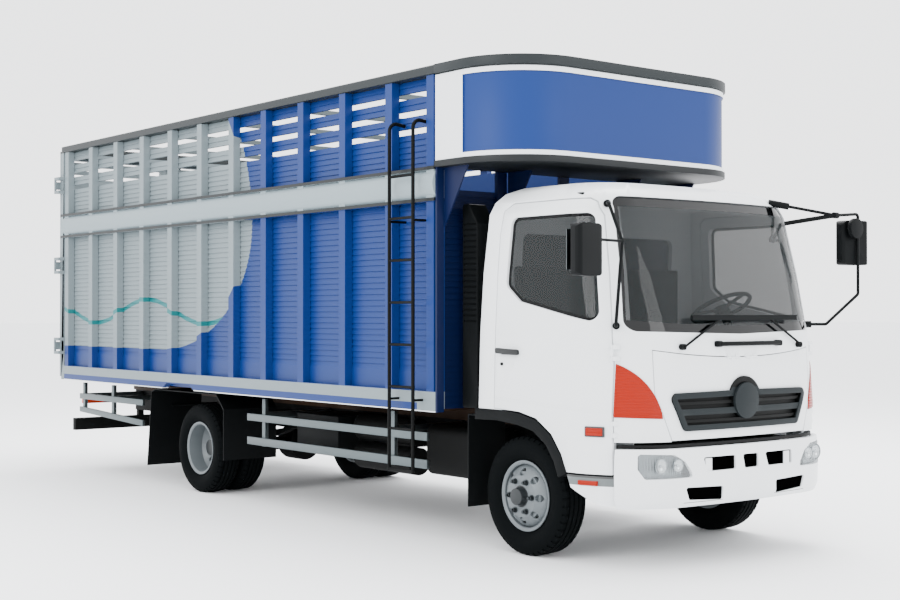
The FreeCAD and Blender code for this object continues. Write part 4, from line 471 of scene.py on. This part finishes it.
# %% Glass with its baked band
GLASS = "#0C1213"
GLASS_ALPHA = 0.5
band_side = 1.043                   # half the clear width that the glass would have at the ground
band_lean = -0.095                  # and what it loses for each metre up
band_top = 2.312
band_low = 1.545
band_bow = 0.045
windscreen_rear = MIDDLE - 0.3


def window_pane(name, banded):
    material = new_material(name, GLASS, 0.03, Alpha=GLASS_ALPHA, Specular_IOR_Level=0.3)
    material.use_backface_culling = False
    if not banded:
        return material
    tree = material.node_tree
    x, y, z = place_axes(tree)
    side = calc(tree, "MULTIPLY_ADD", z, band_lean, band_side)
    beyond = calc(tree, "GREATER_THAN", calc(tree, "ABSOLUTE", x), side)
    band = calc(tree, "MAXIMUM", beyond, calc(tree, "GREATER_THAN", z, band_top))
    bow = calc(tree, "MULTIPLY_ADD", calc(tree, "MULTIPLY", x, x), band_bow, band_low)
    band = calc(tree, "MAXIMUM", band, calc(tree, "LESS_THAN", z, bow))
    front = calc(tree, "LESS_THAN", y, windscreen_rear)
    band = calc(tree, "MULTIPLY", band, front)
    use_color(material, paint_over(tree, GLASS, band, "#040506"))
    alpha = calc(tree, "MAXIMUM", calc(tree, "MULTIPLY", band, 0.98), GLASS_ALPHA)
    tree.links.new(alpha, tree.nodes["Principled BSDF"].inputs["Alpha"])
    return material


tinted_glass = window_pane("tinted_float_glass", False)
banded_glass = window_pane("tinted_glass_with_baked_band", True)

# %% [markdown]
# The step panel is white above and below a grey strip and a black one, moulded in and not painted by
# hand.

# %% Step panel
strip_low = 0.536
strip_middle = 0.585
strip_high = 0.65


def step_panel():
    material = new_material("white_panel_with_moulded_strips", WHITE, 0.35, Coat_Weight=0.5)
    tree = material.node_tree
    x, y, z = place_axes(tree)
    color = paint_over(tree, WHITE, between(tree, z, strip_low, strip_middle), "#4A5152")
    color = paint_over(tree, color, between(tree, z, strip_middle, strip_high), "#0E1112")
    use_color(material, color)
    return material


step_paint = step_panel()

# %% [markdown]
# The cab door carries a black handle in its shallow recess and a soft crease low down. The service lid
# is painted black where it lies behind the grille: painted shade for the dark seen through it. These
# are one pressing each, so the change of finish follows the place.

# %% Door and lid paint
door_face = 1.0906                  # what stands further out than this is the handle
handle_low = 1.335
handle_high = 1.40
recess_low = 1.3455
recess_high = 1.3825
recess_front = MIDDLE - 0.02
recess_rear = MIDDLE + 0.146
crease_level = 1.025                # at the front axle
crease_slope = 0.04
crease_fall = 0.03
crease_gap = 0.215
crease_rise = 0.05
crease_depth = 0.005


def door_enamel():
    material = white_paint("white_door_with_black_handle")
    tree = material.node_tree
    x, y, z = place_axes(tree)
    proud = calc(tree, "GREATER_THAN", calc(tree, "ABSOLUTE", x), door_face)
    handle = calc(tree, "MULTIPLY", proud, between(tree, z, handle_low, handle_high))
    recess = between(tree, y, recess_front, recess_rear)
    sunk = calc(tree, "MULTIPLY", between(tree, z, recess_low, recess_high), recess)
    color = paint_over(tree, WHITE, calc(tree, "MAXIMUM", handle, sunk), "#0D1011")
    use_color(material, color)
    crease = calc(tree, "MULTIPLY_ADD", y, crease_slope, crease_level - crease_slope * MIDDLE)
    fall = ramp(tree, calc(tree, "SUBTRACT", z, crease), crease_fall)
    high = ramp(tree, calc(tree, "SUBTRACT", z, calc(tree, "ADD", crease, crease_gap)), crease_rise)
    add_bump(material, calc(tree, "SUBTRACT", fall, high), 1.0, crease_depth)
    return material


lid_dark_low = 0.905
lid_dark_high = 1.095
lid_dark_half = 0.08                # half the dark patch's width at the ground
lid_dark_lean = 0.5                 # and what it gains for each metre up


def lid_enamel():
    material = white_paint("white_lid_painted_shade_behind_the_grille")
    tree = material.node_tree
    x, y, z = place_axes(tree)
    half = calc(tree, "MULTIPLY_ADD", z, lid_dark_lean, lid_dark_half)
    side = calc(tree, "LESS_THAN", calc(tree, "ABSOLUTE", x), half)
    # painted shade: where the lid is seen through the grille it is painted black
    shade_behind_grille = calc(tree, "MULTIPLY", side, between(tree, z, lid_dark_low, lid_dark_high))
    use_color(material, paint_over(tree, WHITE, shade_behind_grille, "#060708"))
    return material


LAMP_RED = "#6E0503"
indicator_from = 0.78
reversing_to = 0.42


def rear_lamp_lens():
    material = new_material("moulded_rear_lamp_lens", LAMP_RED, 0.25, Specular_IOR_Level=0.3)
    tree = material.node_tree
    x, y, z = place_axes(tree)
    off = calc(tree, "ABSOLUTE", x)
    color = paint_over(tree, LAMP_RED, calc(tree, "GREATER_THAN", off, indicator_from), "#B02800")
    color = paint_over(tree, color, calc(tree, "LESS_THAN", off, reversing_to), "#D5DADC")
    use_color(material, color)
    return material


CAB_BOW = 6.0                       # the radius of the cab's front, seen from above
GRILLE = "#161B1D"
grille_front = MIDDLE - 1.073
grille_wall = 0.020
bumper_front = MIDDLE - 1.100
bumper_wall = 0.014
slot_low = 0.614
slot_high = 0.712
outer_slot = (0.145, 0.446)
inner_slot_half = 0.080
fog_slot = (0.258, 0.600)
fog_low = 0.426
fog_high = 0.530


def depth_behind(tree, x, y, front):
    """How far a point lies behind the cab's bowed front, whose middle stands at front."""
    bow = calc(tree, "MULTIPLY_ADD", calc(tree, "MULTIPLY", x, x), 1 / (2 * CAB_BOW), front)
    return calc(tree, "SUBTRACT", y, bow)


def grille_plastic():
    material = new_material("dark_grille_moulding_with_painted_shade", GRILLE, 0.5, Specular_IOR_Level=0.12)
    tree = material.node_tree
    x, y, z = place_axes(tree)
    # painted shade: the grille's parts deeper than its front wall are painted near black
    sunk = calc(tree, "GREATER_THAN", depth_behind(tree, x, y, grille_front), grille_wall)
    use_color(material, paint_over(tree, GRILLE, sunk, "#010202"))
    return material


def bumper_enamel():
    material = white_paint("white_bumper_painted_shade_in_its_slots")
    tree = material.node_tree
    x, y, z = place_axes(tree)
    off = calc(tree, "ABSOLUTE", x)
    outer = calc(tree, "MULTIPLY", between(tree, off, *outer_slot), between(tree, z, slot_low, slot_high))
    middle = calc(tree, "LESS_THAN", off, inner_slot_half)
    inner = calc(tree, "MULTIPLY", middle, between(tree, z, slot_low, slot_high))
    fog = calc(tree, "MULTIPLY", between(tree, off, *fog_slot), between(tree, z, fog_low, fog_high))
    # painted shade: inside the slots, set back behind the bumper's front, the white is painted black
    recess = calc(tree, "MAXIMUM", calc(tree, "MAXIMUM", outer, inner), fog)
    deep = calc(tree, "GREATER_THAN", depth_behind(tree, x, y, bumper_front), bumper_wall)
    use_color(material, paint_over(tree, WHITE, calc(tree, "MULTIPLY", recess, deep), "#020303"))
    return material


AXLE = 0.4                          # the height of both axles
WHEELBASE = 4.35
REAR_AXLE = MIDDLE + WHEELBASE
WHEEL_SILVER = "#5A6063"
hub_radius = 0.073


def wheel_enamel(name, centre):
    """Silver disc and flange with a dark hub, measured from the axle."""
    material = new_material(name, WHEEL_SILVER, 0.42, 0.2, Specular_IOR_Level=0.4)
    tree = material.node_tree
    x, y, z = place_axes(tree)
    along = calc(tree, "SUBTRACT", y, centre)
    up = calc(tree, "SUBTRACT", z, AXLE)
    square = calc(tree, "MULTIPLY_ADD", along, along, calc(tree, "MULTIPLY", up, up))
    hub = calc(tree, "LESS_THAN", square, hub_radius ** 2)
    use_color(material, paint_over(tree, WHEEL_SILVER, hub, "#1A1E20"))
    return material


door_paint = door_enamel()
lid_paint = lid_enamel()
rear_lens = rear_lamp_lens()
grille_paint = grille_plastic()
bumper_paint = bumper_enamel()
front_wheel_paint = wheel_enamel("silver_front_wheel_enamel", MIDDLE)
rear_wheel_paint = wheel_enamel("silver_rear_wheel_enamel", REAR_AXLE)
print("finishes so far", len(bpy.data.materials))

# %% [markdown]
# A part from CAD has mathematically sharp edges, which catch no light. Each painted part is copied, its
# loose triangles are merged, and a small bevel rounds its edges, so paint and plastic show the fine
# bright line that real ones have.

# %% Dress the CAD parts
WELD = 0.00003


def dress(node, material, edge=0.003, angle=32):
    """A copy of the node's mesh with welded corners and rounded edges, standing for the node."""
    piece = copy_piece(frame["nodes"][node])
    take(piece)
    bpy.ops.object.mode_set(mode="EDIT")
    bpy.ops.mesh.select_all(action="SELECT")
    bpy.ops.mesh.remove_doubles(threshold=WELD)
    bpy.ops.mesh.dissolve_limited(angle_limit=math.radians(0.5))
    bpy.ops.object.mode_set(mode="OBJECT")
    if edge:
        round_corners(piece, edge, angle)
    smooth(piece, angle)
    finish_piece(piece, node + "_dressed", material, body_of_node(node))
    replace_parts(piece, node)
    return piece


dressed = {
    "cab_shell": (white_enamel, 0.004),
    "cab_door_right": (door_paint, 0.003), "cab_door_left": (door_paint, 0.003),
    "service_lid": (lid_paint, 0.003), "front_bumper": (bumper_paint, 0.004),
    "cab_steps": (step_paint, 0.003), "grille": (grille_paint, 0.003),
    "cab_peak": (peak_paint, 0.004), "mirrors": (moulded_black, 0.006),
    "turn_lamps": (amber_lens, 0.003), "fuel_tank": (chassis_enamel, 0.004),
    "battery_box": (moulded_black, 0.004), "front_mudguards": (moulded_black, 0.003),
    "side_guards": (bare_aluminium, 0.002), "steering_wheel": (cabin_plastic, 0.002),
    "dashboard": (cabin_plastic, 0.006), "intake_duct": (moulded_black, 0.006),
    "front_rim_right": (front_wheel_paint, 0.0015), "front_rim_left": (front_wheel_paint, 0.0015),
    "rear_rims_right": (rear_wheel_paint, 0.0015), "rear_rims_left": (rear_wheel_paint, 0.0015),
    "rear_portal": (side_paint, 0.003),
    "cargo_door_right": (side_paint, 0.002), "cargo_door_left": (side_paint, 0.002),
    "under_run_bar": (chassis_enamel, 0.003), "ladder": (chassis_enamel, 0),
}
for node, (material, edge) in dressed.items():
    dress(node, material, edge)
print("dressed", len(dressed))

# %% [markdown]
# Parts that keep their CAD mesh only need their finish.

# %% Finishes on the CAD parts
finishes = {
    "chassis_frame": chassis_enamel, "engine_block": chassis_enamel, "prop_shaft": chassis_enamel,
    "front_axle": chassis_enamel, "rear_axle": chassis_enamel, "leaf_springs": chassis_enamel,
    "knuckle_right": chassis_enamel, "knuckle_left": chassis_enamel, "air_tanks": chassis_enamel,
    "exhaust": chassis_enamel, "rear_lamps": rear_lens,
    "rear_mudguards": moulded_black, "cab_floor": cabin_plastic,
    "cab_glass": banded_glass, "door_glass_right": tinted_glass, "door_glass_left": tinted_glass,
    "headlamps": clear_lens, "wipers": moulded_black, "cargo_floor": deck_wood,
    "cargo_panels_right": side_paint, "cargo_panels_left": side_paint, "cargo_frame_right": side_paint,
    "cargo_frame_left": side_paint, "cargo_front_wall": shaded_blue_enamel, "peak_brackets": shaded_blue_enamel,
    "roof_bows": bare_aluminium,
}
for node, material in finishes.items():
    mesh = frame["nodes"][node].data
    mesh.materials.clear()
    mesh.materials.append(material)
print("finished", len(finishes))

# %% [markdown]
# A tyre's section runs from one bead over the bulged wall, the shoulder and the tread with its four
# grooves to the other bead. It is spun about the axle, and every fourth field of the shoulder is pushed
# in, which gives the notches that a road tyre has.

# %% Tyres
TYRE_RADIUS = 0.400
BEAD_RADIUS = 0.2223
BEAD_HALF = 0.085
BEAD_TOP = 0.245
WALL_BULGE = (-0.1175, 0.318)
SHOULDER = (-0.1035, 0.378)
TREAD_HALF = 0.0855
CROWN_DROP = 0.004
GROOVES = (-0.058, -0.02, 0.02, 0.058)
GROOVE_TOP_HALF = 0.0055
GROOVE_FOOT_HALF = 0.0035
GROOVE_DEPTH = 0.011
TYRE_STEPS = 180
NOTCH_DEPTH = 0.006
NOTCH_FROM = 0.066                  # how far from the tyre's middle the notches start
NOTCH_REACH = 0.372                 # and from the axle
FRONT_TYRE_X = 0.902
REAR_TYRES_X = (0.972, 0.710)


def arc(first, through, last, count):
    """Points on the circle through three points of a section, after the first."""
    (ax, az), (bx, bz), (cx, cz) = first, through, last
    d = 2 * (ax * (bz - cz) + bx * (cz - az) + cx * (az - bz))
    a2, b2, c2 = ax * ax + az * az, bx * bx + bz * bz, cx * cx + cz * cz
    mx = (a2 * (bz - cz) + b2 * (cz - az) + c2 * (az - bz)) / d
    mz = (a2 * (cx - bx) + b2 * (ax - cx) + c2 * (bx - ax)) / d
    radius = math.hypot(ax - mx, az - mz)
    start = math.atan2(az - mz, ax - mx)
    end = math.atan2(cz - mz, cx - mx)
    while end > start:
        end -= math.tau
    turns = [start + (end - start) * (i + 1) / count for i in range(count)]
    return [(mx + radius * math.cos(t), mz + radius * math.sin(t)) for t in turns]


def crown(x):
    return TYRE_RADIUS - CROWN_DROP * (x / TREAD_HALF) ** 2


def tyre_section():
    left_side = [(-BEAD_HALF, BEAD_RADIUS), (-BEAD_HALF, BEAD_TOP)]
    left_side += arc((-BEAD_HALF, BEAD_TOP), WALL_BULGE, SHOULDER, 9)
    tread = [(-TREAD_HALF, crown(-TREAD_HALF))]
    for middle in GROOVES:
        top = crown(middle)
        tread += [(middle - GROOVE_TOP_HALF, top), (middle - GROOVE_FOOT_HALF, top - GROOVE_DEPTH),
                  (middle + GROOVE_FOOT_HALF, top - GROOVE_DEPTH), (middle + GROOVE_TOP_HALF, top)]
    tread += [(TREAD_HALF, crown(TREAD_HALF))]
    return left_side + tread + [(-x, z) for x, z in left_side[::-1]]


def tyre(x, y):
    section = [(x + dx, y, AXLE + r) for dx, r in tyre_section()]
    piece = spin_section(section + section[:1], (x, y, AXLE), (1, 0, 0), TYRE_STEPS)
    take(piece)
    bpy.ops.object.mode_set(mode="EDIT")
    bpy.ops.mesh.select_all(action="DESELECT")
    mesh = bmesh.from_edit_mesh(piece.data)
    for face in mesh.faces:
        spot = face.calc_center_median()
        reach = math.hypot(spot.y - y, spot.z - AXLE)
        turn = math.atan2(spot.z - AXLE, spot.y - y) * TYRE_STEPS / math.tau
        if abs(spot.x - x) > NOTCH_FROM and reach > NOTCH_REACH and math.floor(turn) % 4 == 0:
            face.select = True
    bmesh.update_edit_mesh(piece.data)
    bpy.ops.mesh.extrude_region_shrink_fatten(TRANSFORM_OT_shrink_fatten={"value": -NOTCH_DEPTH})
    bpy.ops.object.mode_set(mode="OBJECT")
    return smooth(piece, 30)


for side, name in ((-1, "right"), (1, "left")):
    front = finish_piece(tyre(side * FRONT_TYRE_X, MIDDLE), "front_tyre_" + name + "_treaded", tyre_rubber,
                         "front_wheel_" + name)
    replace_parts(front, "front_tyre_" + name)
    twins = join_pieces([tyre(side * x, REAR_AXLE) for x in REAR_TYRES_X])
    twins = finish_piece(twins, "rear_tyres_" + name + "_treaded", tyre_rubber, "rear_wheels_" + name)
    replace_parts(twins, "rear_tyres_" + name)
print("triangles in one tyre", sum(len(p.vertices) - 2 for p in front.data.polygons))

# %% [markdown]
# Six studs hold each wheel on a circle of 222.25 mm. One nut with its collar and stud is modelled and
# copied.

# %% Wheel nuts
STUD_COUNT = 6
STUD_CIRCLE = 0.111
FRONT_DISC_X = 1.033
REAR_DISC_X = 0.853


def wheel_nuts(x, y, out):
    """Six nuts on the disc face at x, standing out towards the sign of out."""
    z = AXLE + STUD_CIRCLE
    collar = bar((x, y, z), (x + out * 0.005, y, z), 0.021, 0.001, 24)
    nut = bar((x + out * 0.003, y, z), (x + out * 0.026, y, z), 0.0175, 0.002, 6)
    stud = bar((x, y, z), (x + out * 0.040, y, z), 0.0100, 0.001, 16)
    first = join_pieces([collar, nut, stud])
    centre = Vector((x, y, AXLE))
    pitch = math.tau / STUD_COUNT
    turns = [Matrix.Translation(centre) @ Matrix.Rotation(pitch * (i + 0.5), 4, "X")
             @ Matrix.Translation(-centre) for i in range(STUD_COUNT)]
    copies = [copy_piece(first, turn=turn) for turn in turns]
    bpy.data.objects.remove(first)
    return join_pieces(copies)


for side, name in ((-1, "right"), (1, "left")):
    nuts = wheel_nuts(side * FRONT_DISC_X, MIDDLE, side)
    finish_piece(nuts, "front_wheel_nuts_" + name, zinc_steel, "front_wheel_" + name)
    nuts = wheel_nuts(side * REAR_DISC_X, REAR_AXLE, side)
    finish_piece(nuts, "rear_wheel_nuts_" + name, zinc_steel, "rear_wheels_" + name)
print("faces in one wheel's nuts", len(nuts.data.polygons))

# %% [markdown]
# Behind each headlamp's clear lens sit a fluted reflector and two bright bowls with their bulbs. The
# bumper's slots look onto a black sheet, which is painted shade, and a black piece in the gap between
# the bumper and the lid is painted shade too.

# %% Lamps and dark gaps
LAMP_HEIGHT = 0.668
BOWL_DEPTH = 0.55                   # a bowl's depth as a share of a half globe's
BOWL_WALL = 0.0015
OUTER_BOWL = (0.775, MIDDLE - 1.030, 0.052)
INNER_BOWL = (0.655, MIDDLE - 1.062, 0.044)
REFLECTOR_BACK = 0.030
CAVITY_MIDDLE = (0, MIDDLE - 1.049, 0.575)
CAVITY_SIZE = (1.20, 0.008, 0.30)
FILLER_LOW = 0.752
FILLER_LIFT = 0.024
FILLER_SHRINK = (0.965, 0.93, 1)
FILLER_CENTRE = (0, MIDDLE - 0.55, 0.76)


def lamp_bowl(x, y, z, radius):
    """Half a globe open to the front, walled, with a small bulb in it."""
    clear()
    bpy.ops.mesh.primitive_uv_sphere_add(segments=32, ring_count=16, radius=radius, location=(x, y, z))
    bowl = settle(bpy.context.object)
    bpy.ops.object.mode_set(mode="EDIT")
    bpy.ops.mesh.select_all(action="SELECT")
    bpy.ops.mesh.bisect(plane_co=(x, y, z), plane_no=(0, -1, 0), clear_outer=True)
    bpy.ops.mesh.select_all(action="SELECT")
    bpy.ops.transform.resize(value=(1, BOWL_DEPTH, 1), center_override=(x, y, z))
    bpy.ops.object.mode_set(mode="OBJECT")
    apply_modifier(bowl, "SOLIDIFY", thickness=BOWL_WALL, offset=1)
    bulb = bar((x, y + radius * 0.4, z), (x, y + 0.004, z), 0.009, 0.004, 16)
    return join_pieces([smooth(bowl), bulb])


bowls = []
for side in (-1, 1):
    for x, y, radius in (OUTER_BOWL, INNER_BOWL):
        bowls.append(lamp_bowl(side * x, y, LAMP_HEIGHT, radius))
print("lamp bowls", len(bowls))
finish_piece(join_pieces(bowls), "headlamp_bowls", chrome, "root")

backing = copy_piece(frame["nodes"]["headlamps"], offset=(0, REFLECTOR_BACK, 0))
take(backing)
bpy.ops.object.mode_set(mode="EDIT")
bpy.ops.mesh.select_all(action="SELECT")
bpy.ops.mesh.remove_doubles(threshold=WELD)
bpy.ops.object.mode_set(mode="OBJECT")
round_corners(backing, 0.002, 40)
finish_piece(smooth(backing), "headlamp_reflectors", fluted_reflector, "root")

# painted shade: a black sheet behind the bumper's slots, so that they look into the dark
slot_shade_panel = block(CAVITY_MIDDLE, CAVITY_SIZE, 0.002)
finish_piece(slot_shade_panel, "bumper_slot_shade_panel", slot_shade_black, "root")

# painted shade: a black piece made from the bumper's top stands in the gap below the lid
filler = copy_piece(frame["nodes"]["front_bumper"])
take(filler)
bpy.ops.object.mode_set(mode="EDIT")
bpy.ops.mesh.select_all(action="SELECT")
bpy.ops.mesh.remove_doubles(threshold=WELD)
bpy.ops.mesh.select_all(action="SELECT")
bpy.ops.mesh.bisect(plane_co=(0, 0, FILLER_LOW), plane_no=(0, 0, 1), clear_inner=True, use_fill=True)
bpy.ops.mesh.select_all(action="SELECT")
bpy.ops.transform.resize(value=FILLER_SHRINK, center_override=FILLER_CENTRE)
bpy.ops.transform.translate(value=(0, 0, FILLER_LIFT))
bpy.ops.mesh.normals_make_consistent(inside=False)
bpy.ops.object.mode_set(mode="OBJECT")
round_corners(filler, 0.001, 50, 1)
finish_piece(smooth(filler), "bumper_gap_shade_filler", seal_rubber, "root")
print("faces in the gap filler", len(filler.data.polygons))

# %% [markdown]
# Small fittings on the cab: the grab rail under the windscreen, side lamps, reflectors, locks and
# mirror glass.

# %% Cab fittings
FLUSH_SINK = 0.008                  # how deep a flush fitting sits in the skin
RAIL_HEIGHT = 1.425
RAIL_X = (-0.235, 0.370)
RAIL_Y = -1.040
RAIL_FOOT_Y = -1.028
TURN_LAMP_HEIGHT = 0.878
REFLECTOR_HEIGHT = 0.553
MARKER_HEIGHT = 2.390
LOCK_Y = 0.133
LOCK_HEIGHT = 1.282
MIRROR_X = 1.3375
MIRROR_Y = -0.8815
MIRROR_HEIGHT = {-1: 2.010, 1: 2.130}
MIRROR_PANE = (0.195, 0.003, 0.250)
MIRROR_TURN = -0.128


def flush_fitting(first, last, high, thick, edge):
    """A small lamp or pad that lies along the skin from its front end to its rear end."""
    start, end = Vector(first), Vector(last)
    way = end - start
    out = Vector((way.y, -way.x, 0)).normalized()
    if out.x > 0:
        out = -out
    middle = (start + end) / 2 + out * (thick / 2 - FLUSH_SINK)
    return block(middle, (way.length, thick, high), edge, math.atan2(way.y, way.x), 3)


def cab_spot(x, y, z):
    return (x, MIDDLE + y, z)


feet = [block(cab_spot(x, RAIL_FOOT_Y, RAIL_HEIGHT), (0.055, 0.045, 0.040), 0.012, 0, 3) for x in RAIL_X]
rail_ends = [cab_spot(x, RAIL_Y, RAIL_HEIGHT) for x in RAIL_X]
rail = bar(*rail_ends, 0.015, 0.003, 24)
finish_piece(join_pieces(feet + [rail]), "grab_rail", moulded_black, "root")

for side, name in ((-1, "right"), (1, "left")):
    door = "cab_door_" + name
    lamp = flush_fitting(cab_spot(-1.026, -0.767, TURN_LAMP_HEIGHT),
                         cab_spot(-1.068, -0.660, TURN_LAMP_HEIGHT), 0.050, 0.024, 0.006)
    lamp_frame = flush_fitting(cab_spot(-1.022, -0.776, TURN_LAMP_HEIGHT),
                               cab_spot(-1.071, -0.651, TURN_LAMP_HEIGHT), 0.066, 0.018, 0.006)
    guide = flush_fitting(cab_spot(-1.040, -0.734, REFLECTOR_HEIGHT),
                          cab_spot(-1.078, -0.600, REFLECTOR_HEIGHT), 0.030, 0.020, 0.004)
    marker = flush_fitting(cab_spot(-0.938, -0.514, MARKER_HEIGHT),
                           cab_spot(-0.944, -0.432, MARKER_HEIGHT), 0.034, 0.022, 0.010)
    barrel = bar(cab_spot(-1.080, LOCK_Y, LOCK_HEIGHT), cab_spot(-1.094, LOCK_Y, LOCK_HEIGHT), 0.011)
    pane = block(cab_spot(-MIRROR_X, MIRROR_Y, MIRROR_HEIGHT[side]), MIRROR_PANE, 0.0012, MIRROR_TURN)
    pieces = [(lamp, "side_turn_lamp_", amber_lens, door, "lamp_amber"),
              (lamp_frame, "side_lamp_frame_", trim_grey, door, "grille_grey"),
              (guide, "side_reflector_", amber_lens, "root", "lamp_amber"),
              (marker, "roof_marker_lamp_", moulded_black, "root", "dark_plastic"),
              (barrel, "door_lock_", seal_rubber, door, "dark_plastic"),
              (pane, "mirror_glass_", mirror_glass, "root", "window_glass")]
    for piece, title, material, body, slot_name in pieces:
        if side > 0:
            other = mirrored(piece)
            bpy.data.objects.remove(piece)
            piece = other
        finish_piece(piece, title + name, material, body)
    print("fittings on the cab's", name, len(pieces))

# %% [markdown]
# A rubber seal runs round each door window. It is the outer face of the window pane, inset and cut down
# to a rim, then thickened.

# %% Window seals
SEAL_WIDTH = 0.020
SEAL_WALL = 0.004
for side, name in ((-1, "right"), (1, "left")):
    seal = copy_piece(frame["nodes"]["door_glass_" + name])
    take(seal)
    bpy.ops.object.mode_set(mode="EDIT")
    bpy.ops.mesh.select_all(action="SELECT")
    bpy.ops.mesh.remove_doubles(threshold=WELD)
    bpy.ops.mesh.select_all(action="DESELECT")
    mesh = bmesh.from_edit_mesh(seal.data)
    for face in mesh.faces:
        face.select = face.normal.x * side > 0.5
    bmesh.update_edit_mesh(seal.data)
    bpy.ops.mesh.inset(thickness=SEAL_WIDTH, use_boundary=True)
    bpy.ops.mesh.delete(type="FACE")
    mesh = bmesh.from_edit_mesh(seal.data)
    for face in mesh.faces:
        face.select = face.normal.x * side <= 0.5
    bmesh.update_edit_mesh(seal.data)
    bpy.ops.mesh.delete(type="FACE")
    bpy.ops.object.mode_set(mode="OBJECT")
    apply_modifier(seal, "SOLIDIFY", thickness=SEAL_WALL, offset=1)
    finish_piece(smooth(seal), "window_seal_" + name, seal_rubber, "cab_door_" + name)
print("window seal faces", len(seal.data.polygons))

# %% [markdown]
# The seats are foam under cloth. Each cushion starts as a smaller rounded block, is remeshed fine and
# blown up a little as cloth, with the swelling capped so that it stays in the room of the seat.

# %% Seats
VOXEL = 0.006
PRESSURE = 4.0
CLOTH_FRAMES = 20
SEAT_FRONT = -0.300
SEAT_REAR = 0.213
CUSHION_LOW = 1.286
CUSHION_HIGH = 1.418
BACK_FRONT = 0.218
BACK_REAR = 0.289
BACK_LOW = 1.305
BACK_HIGH = 1.960
STAND_MIDDLE = (MIDDLE - 0.015, 1.1425)
STAND_SIZE = (0.43, 0.285)


def cushion(low, high, margin, cap):
    """A padded block between two corners."""
    first, last = Vector(low), Vector(high)
    size = last - first - Vector((margin, margin, margin))
    pad = block((first + last) / 2, size, min(size) * 0.32, 0, 4)
    apply_modifier(pad, "REMESH", mode="VOXEL", voxel_size=VOXEL)
    home = [vertex.co.copy() for vertex in pad.data.vertices]
    take(pad)
    bpy.ops.object.modifier_add(type="CLOTH")
    cloth = pad.modifiers[-1]
    cloth.settings.use_pressure = True
    cloth.settings.uniform_pressure_force = PRESSURE
    cloth.settings.effector_weights.gravity = 0.0
    cloth.point_cache.frame_start = 1
    cloth.point_cache.frame_end = CLOTH_FRAMES
    for step in range(1, CLOTH_FRAMES + 1):
        bpy.context.scene.frame_set(step)
    bpy.ops.object.modifier_apply(modifier=cloth.name)
    for vertex, start in zip(pad.data.vertices, home):
        move = vertex.co - start
        if move.length > cap:
            vertex.co = start + move * (cap / move.length)
    bpy.context.scene.frame_set(1)
    return smooth(pad, 60)


def seat(node, base, cushion_x, body):
    """Base, cushion and back; the base is moulded and stands for the CAD's solid."""
    stand = block(((base[0] + base[1]) / 2, *STAND_MIDDLE), (base[1] - base[0], *STAND_SIZE), 0.012)
    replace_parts(finish_piece(stand, node + "_stand", cabin_plastic, body), node)
    first, last = cushion_x
    low = cushion(cab_spot(first, SEAT_FRONT, CUSHION_LOW), cab_spot(last, SEAT_REAR, CUSHION_HIGH),
                  0.020, 0.009)
    back = cushion(cab_spot(first, BACK_FRONT, BACK_LOW), cab_spot(last, BACK_REAR, BACK_HIGH), 0.014, 0.006)
    for pad, title in ((low, "_cushion"), (back, "_back")):
        finish_piece(pad, node + title, seat_cloth, body)
        print(pad.name, "faces", len(pad.data.polygons))


seat("driver_seat", (0.470, 0.740), (0.250, 0.780), "root")
seat("passenger_seat", (-0.820, -0.470), (-0.860, -0.060), "root")

# %% [markdown]
# The portrait is taken on a pale floor in a studio: a wide soft light overhead, a weaker one from the
# truck's right, a faint one from the front, and an even pale surround that meets the floor without a
# visible line.

# %% Floor, light and camera
clear()
bpy.ops.mesh.primitive_plane_add(size=400)
floor = bpy.context.object
floor.name = "studio_floor"
floor_paint = new_material("matt_studio_floor", "#F7F8F9", 0.9, Specular_IOR_Level=0.1)
floor.data.materials.append(floor_paint)
surround = bpy.data.worlds.new("pale_surround")
bpy.context.scene.world = surround
surround.use_nodes = True
background = surround.node_tree.nodes["Background"]
background.inputs["Color"].default_value = linear("#F4F5F7")
background.inputs["Strength"].default_value = 3.4


def soft_light(name, spot, aim, size, power):
    clear()
    bpy.ops.object.light_add(type="AREA", location=spot)
    lamp = bpy.context.object
    lamp.name = name
    lamp.data.shape = "DISK"
    lamp.data.size = size
    lamp.data.energy = power
    lamp.rotation_euler = (Vector(aim) - Vector(spot)).to_track_quat("-Z", "Y").to_euler()
    return lamp


lights = [
    soft_light("overhead", (3.0, 1.0, 11.0), (0, 0, 1), 9.0, 2600),
    soft_light("from_the_left", (-11.0, -3.0, 6.0), (0, 0, 1.5), 6.0, 700),
    soft_light("from_the_front", (2.0, -14.0, 5.0), (0, -3, 1.5), 5.0, 300),
]

camera_spot = Vector((-7.326, MIDDLE - 7.117, 1.628))
camera_turn = math.radians(38.624)
camera_rise = math.radians(0.507)
camera_rotation = (math.pi / 2 + camera_rise, 0, -camera_turn)
bpy.ops.object.camera_add(location=camera_spot, rotation=camera_rotation)
camera = bpy.context.object
camera.data.lens = 56.72
camera.data.sensor_width = 36.0
camera.data.clip_end = 500
bpy.context.scene.camera = camera
print("camera", tuple(round(v, 3) for v in camera.location))
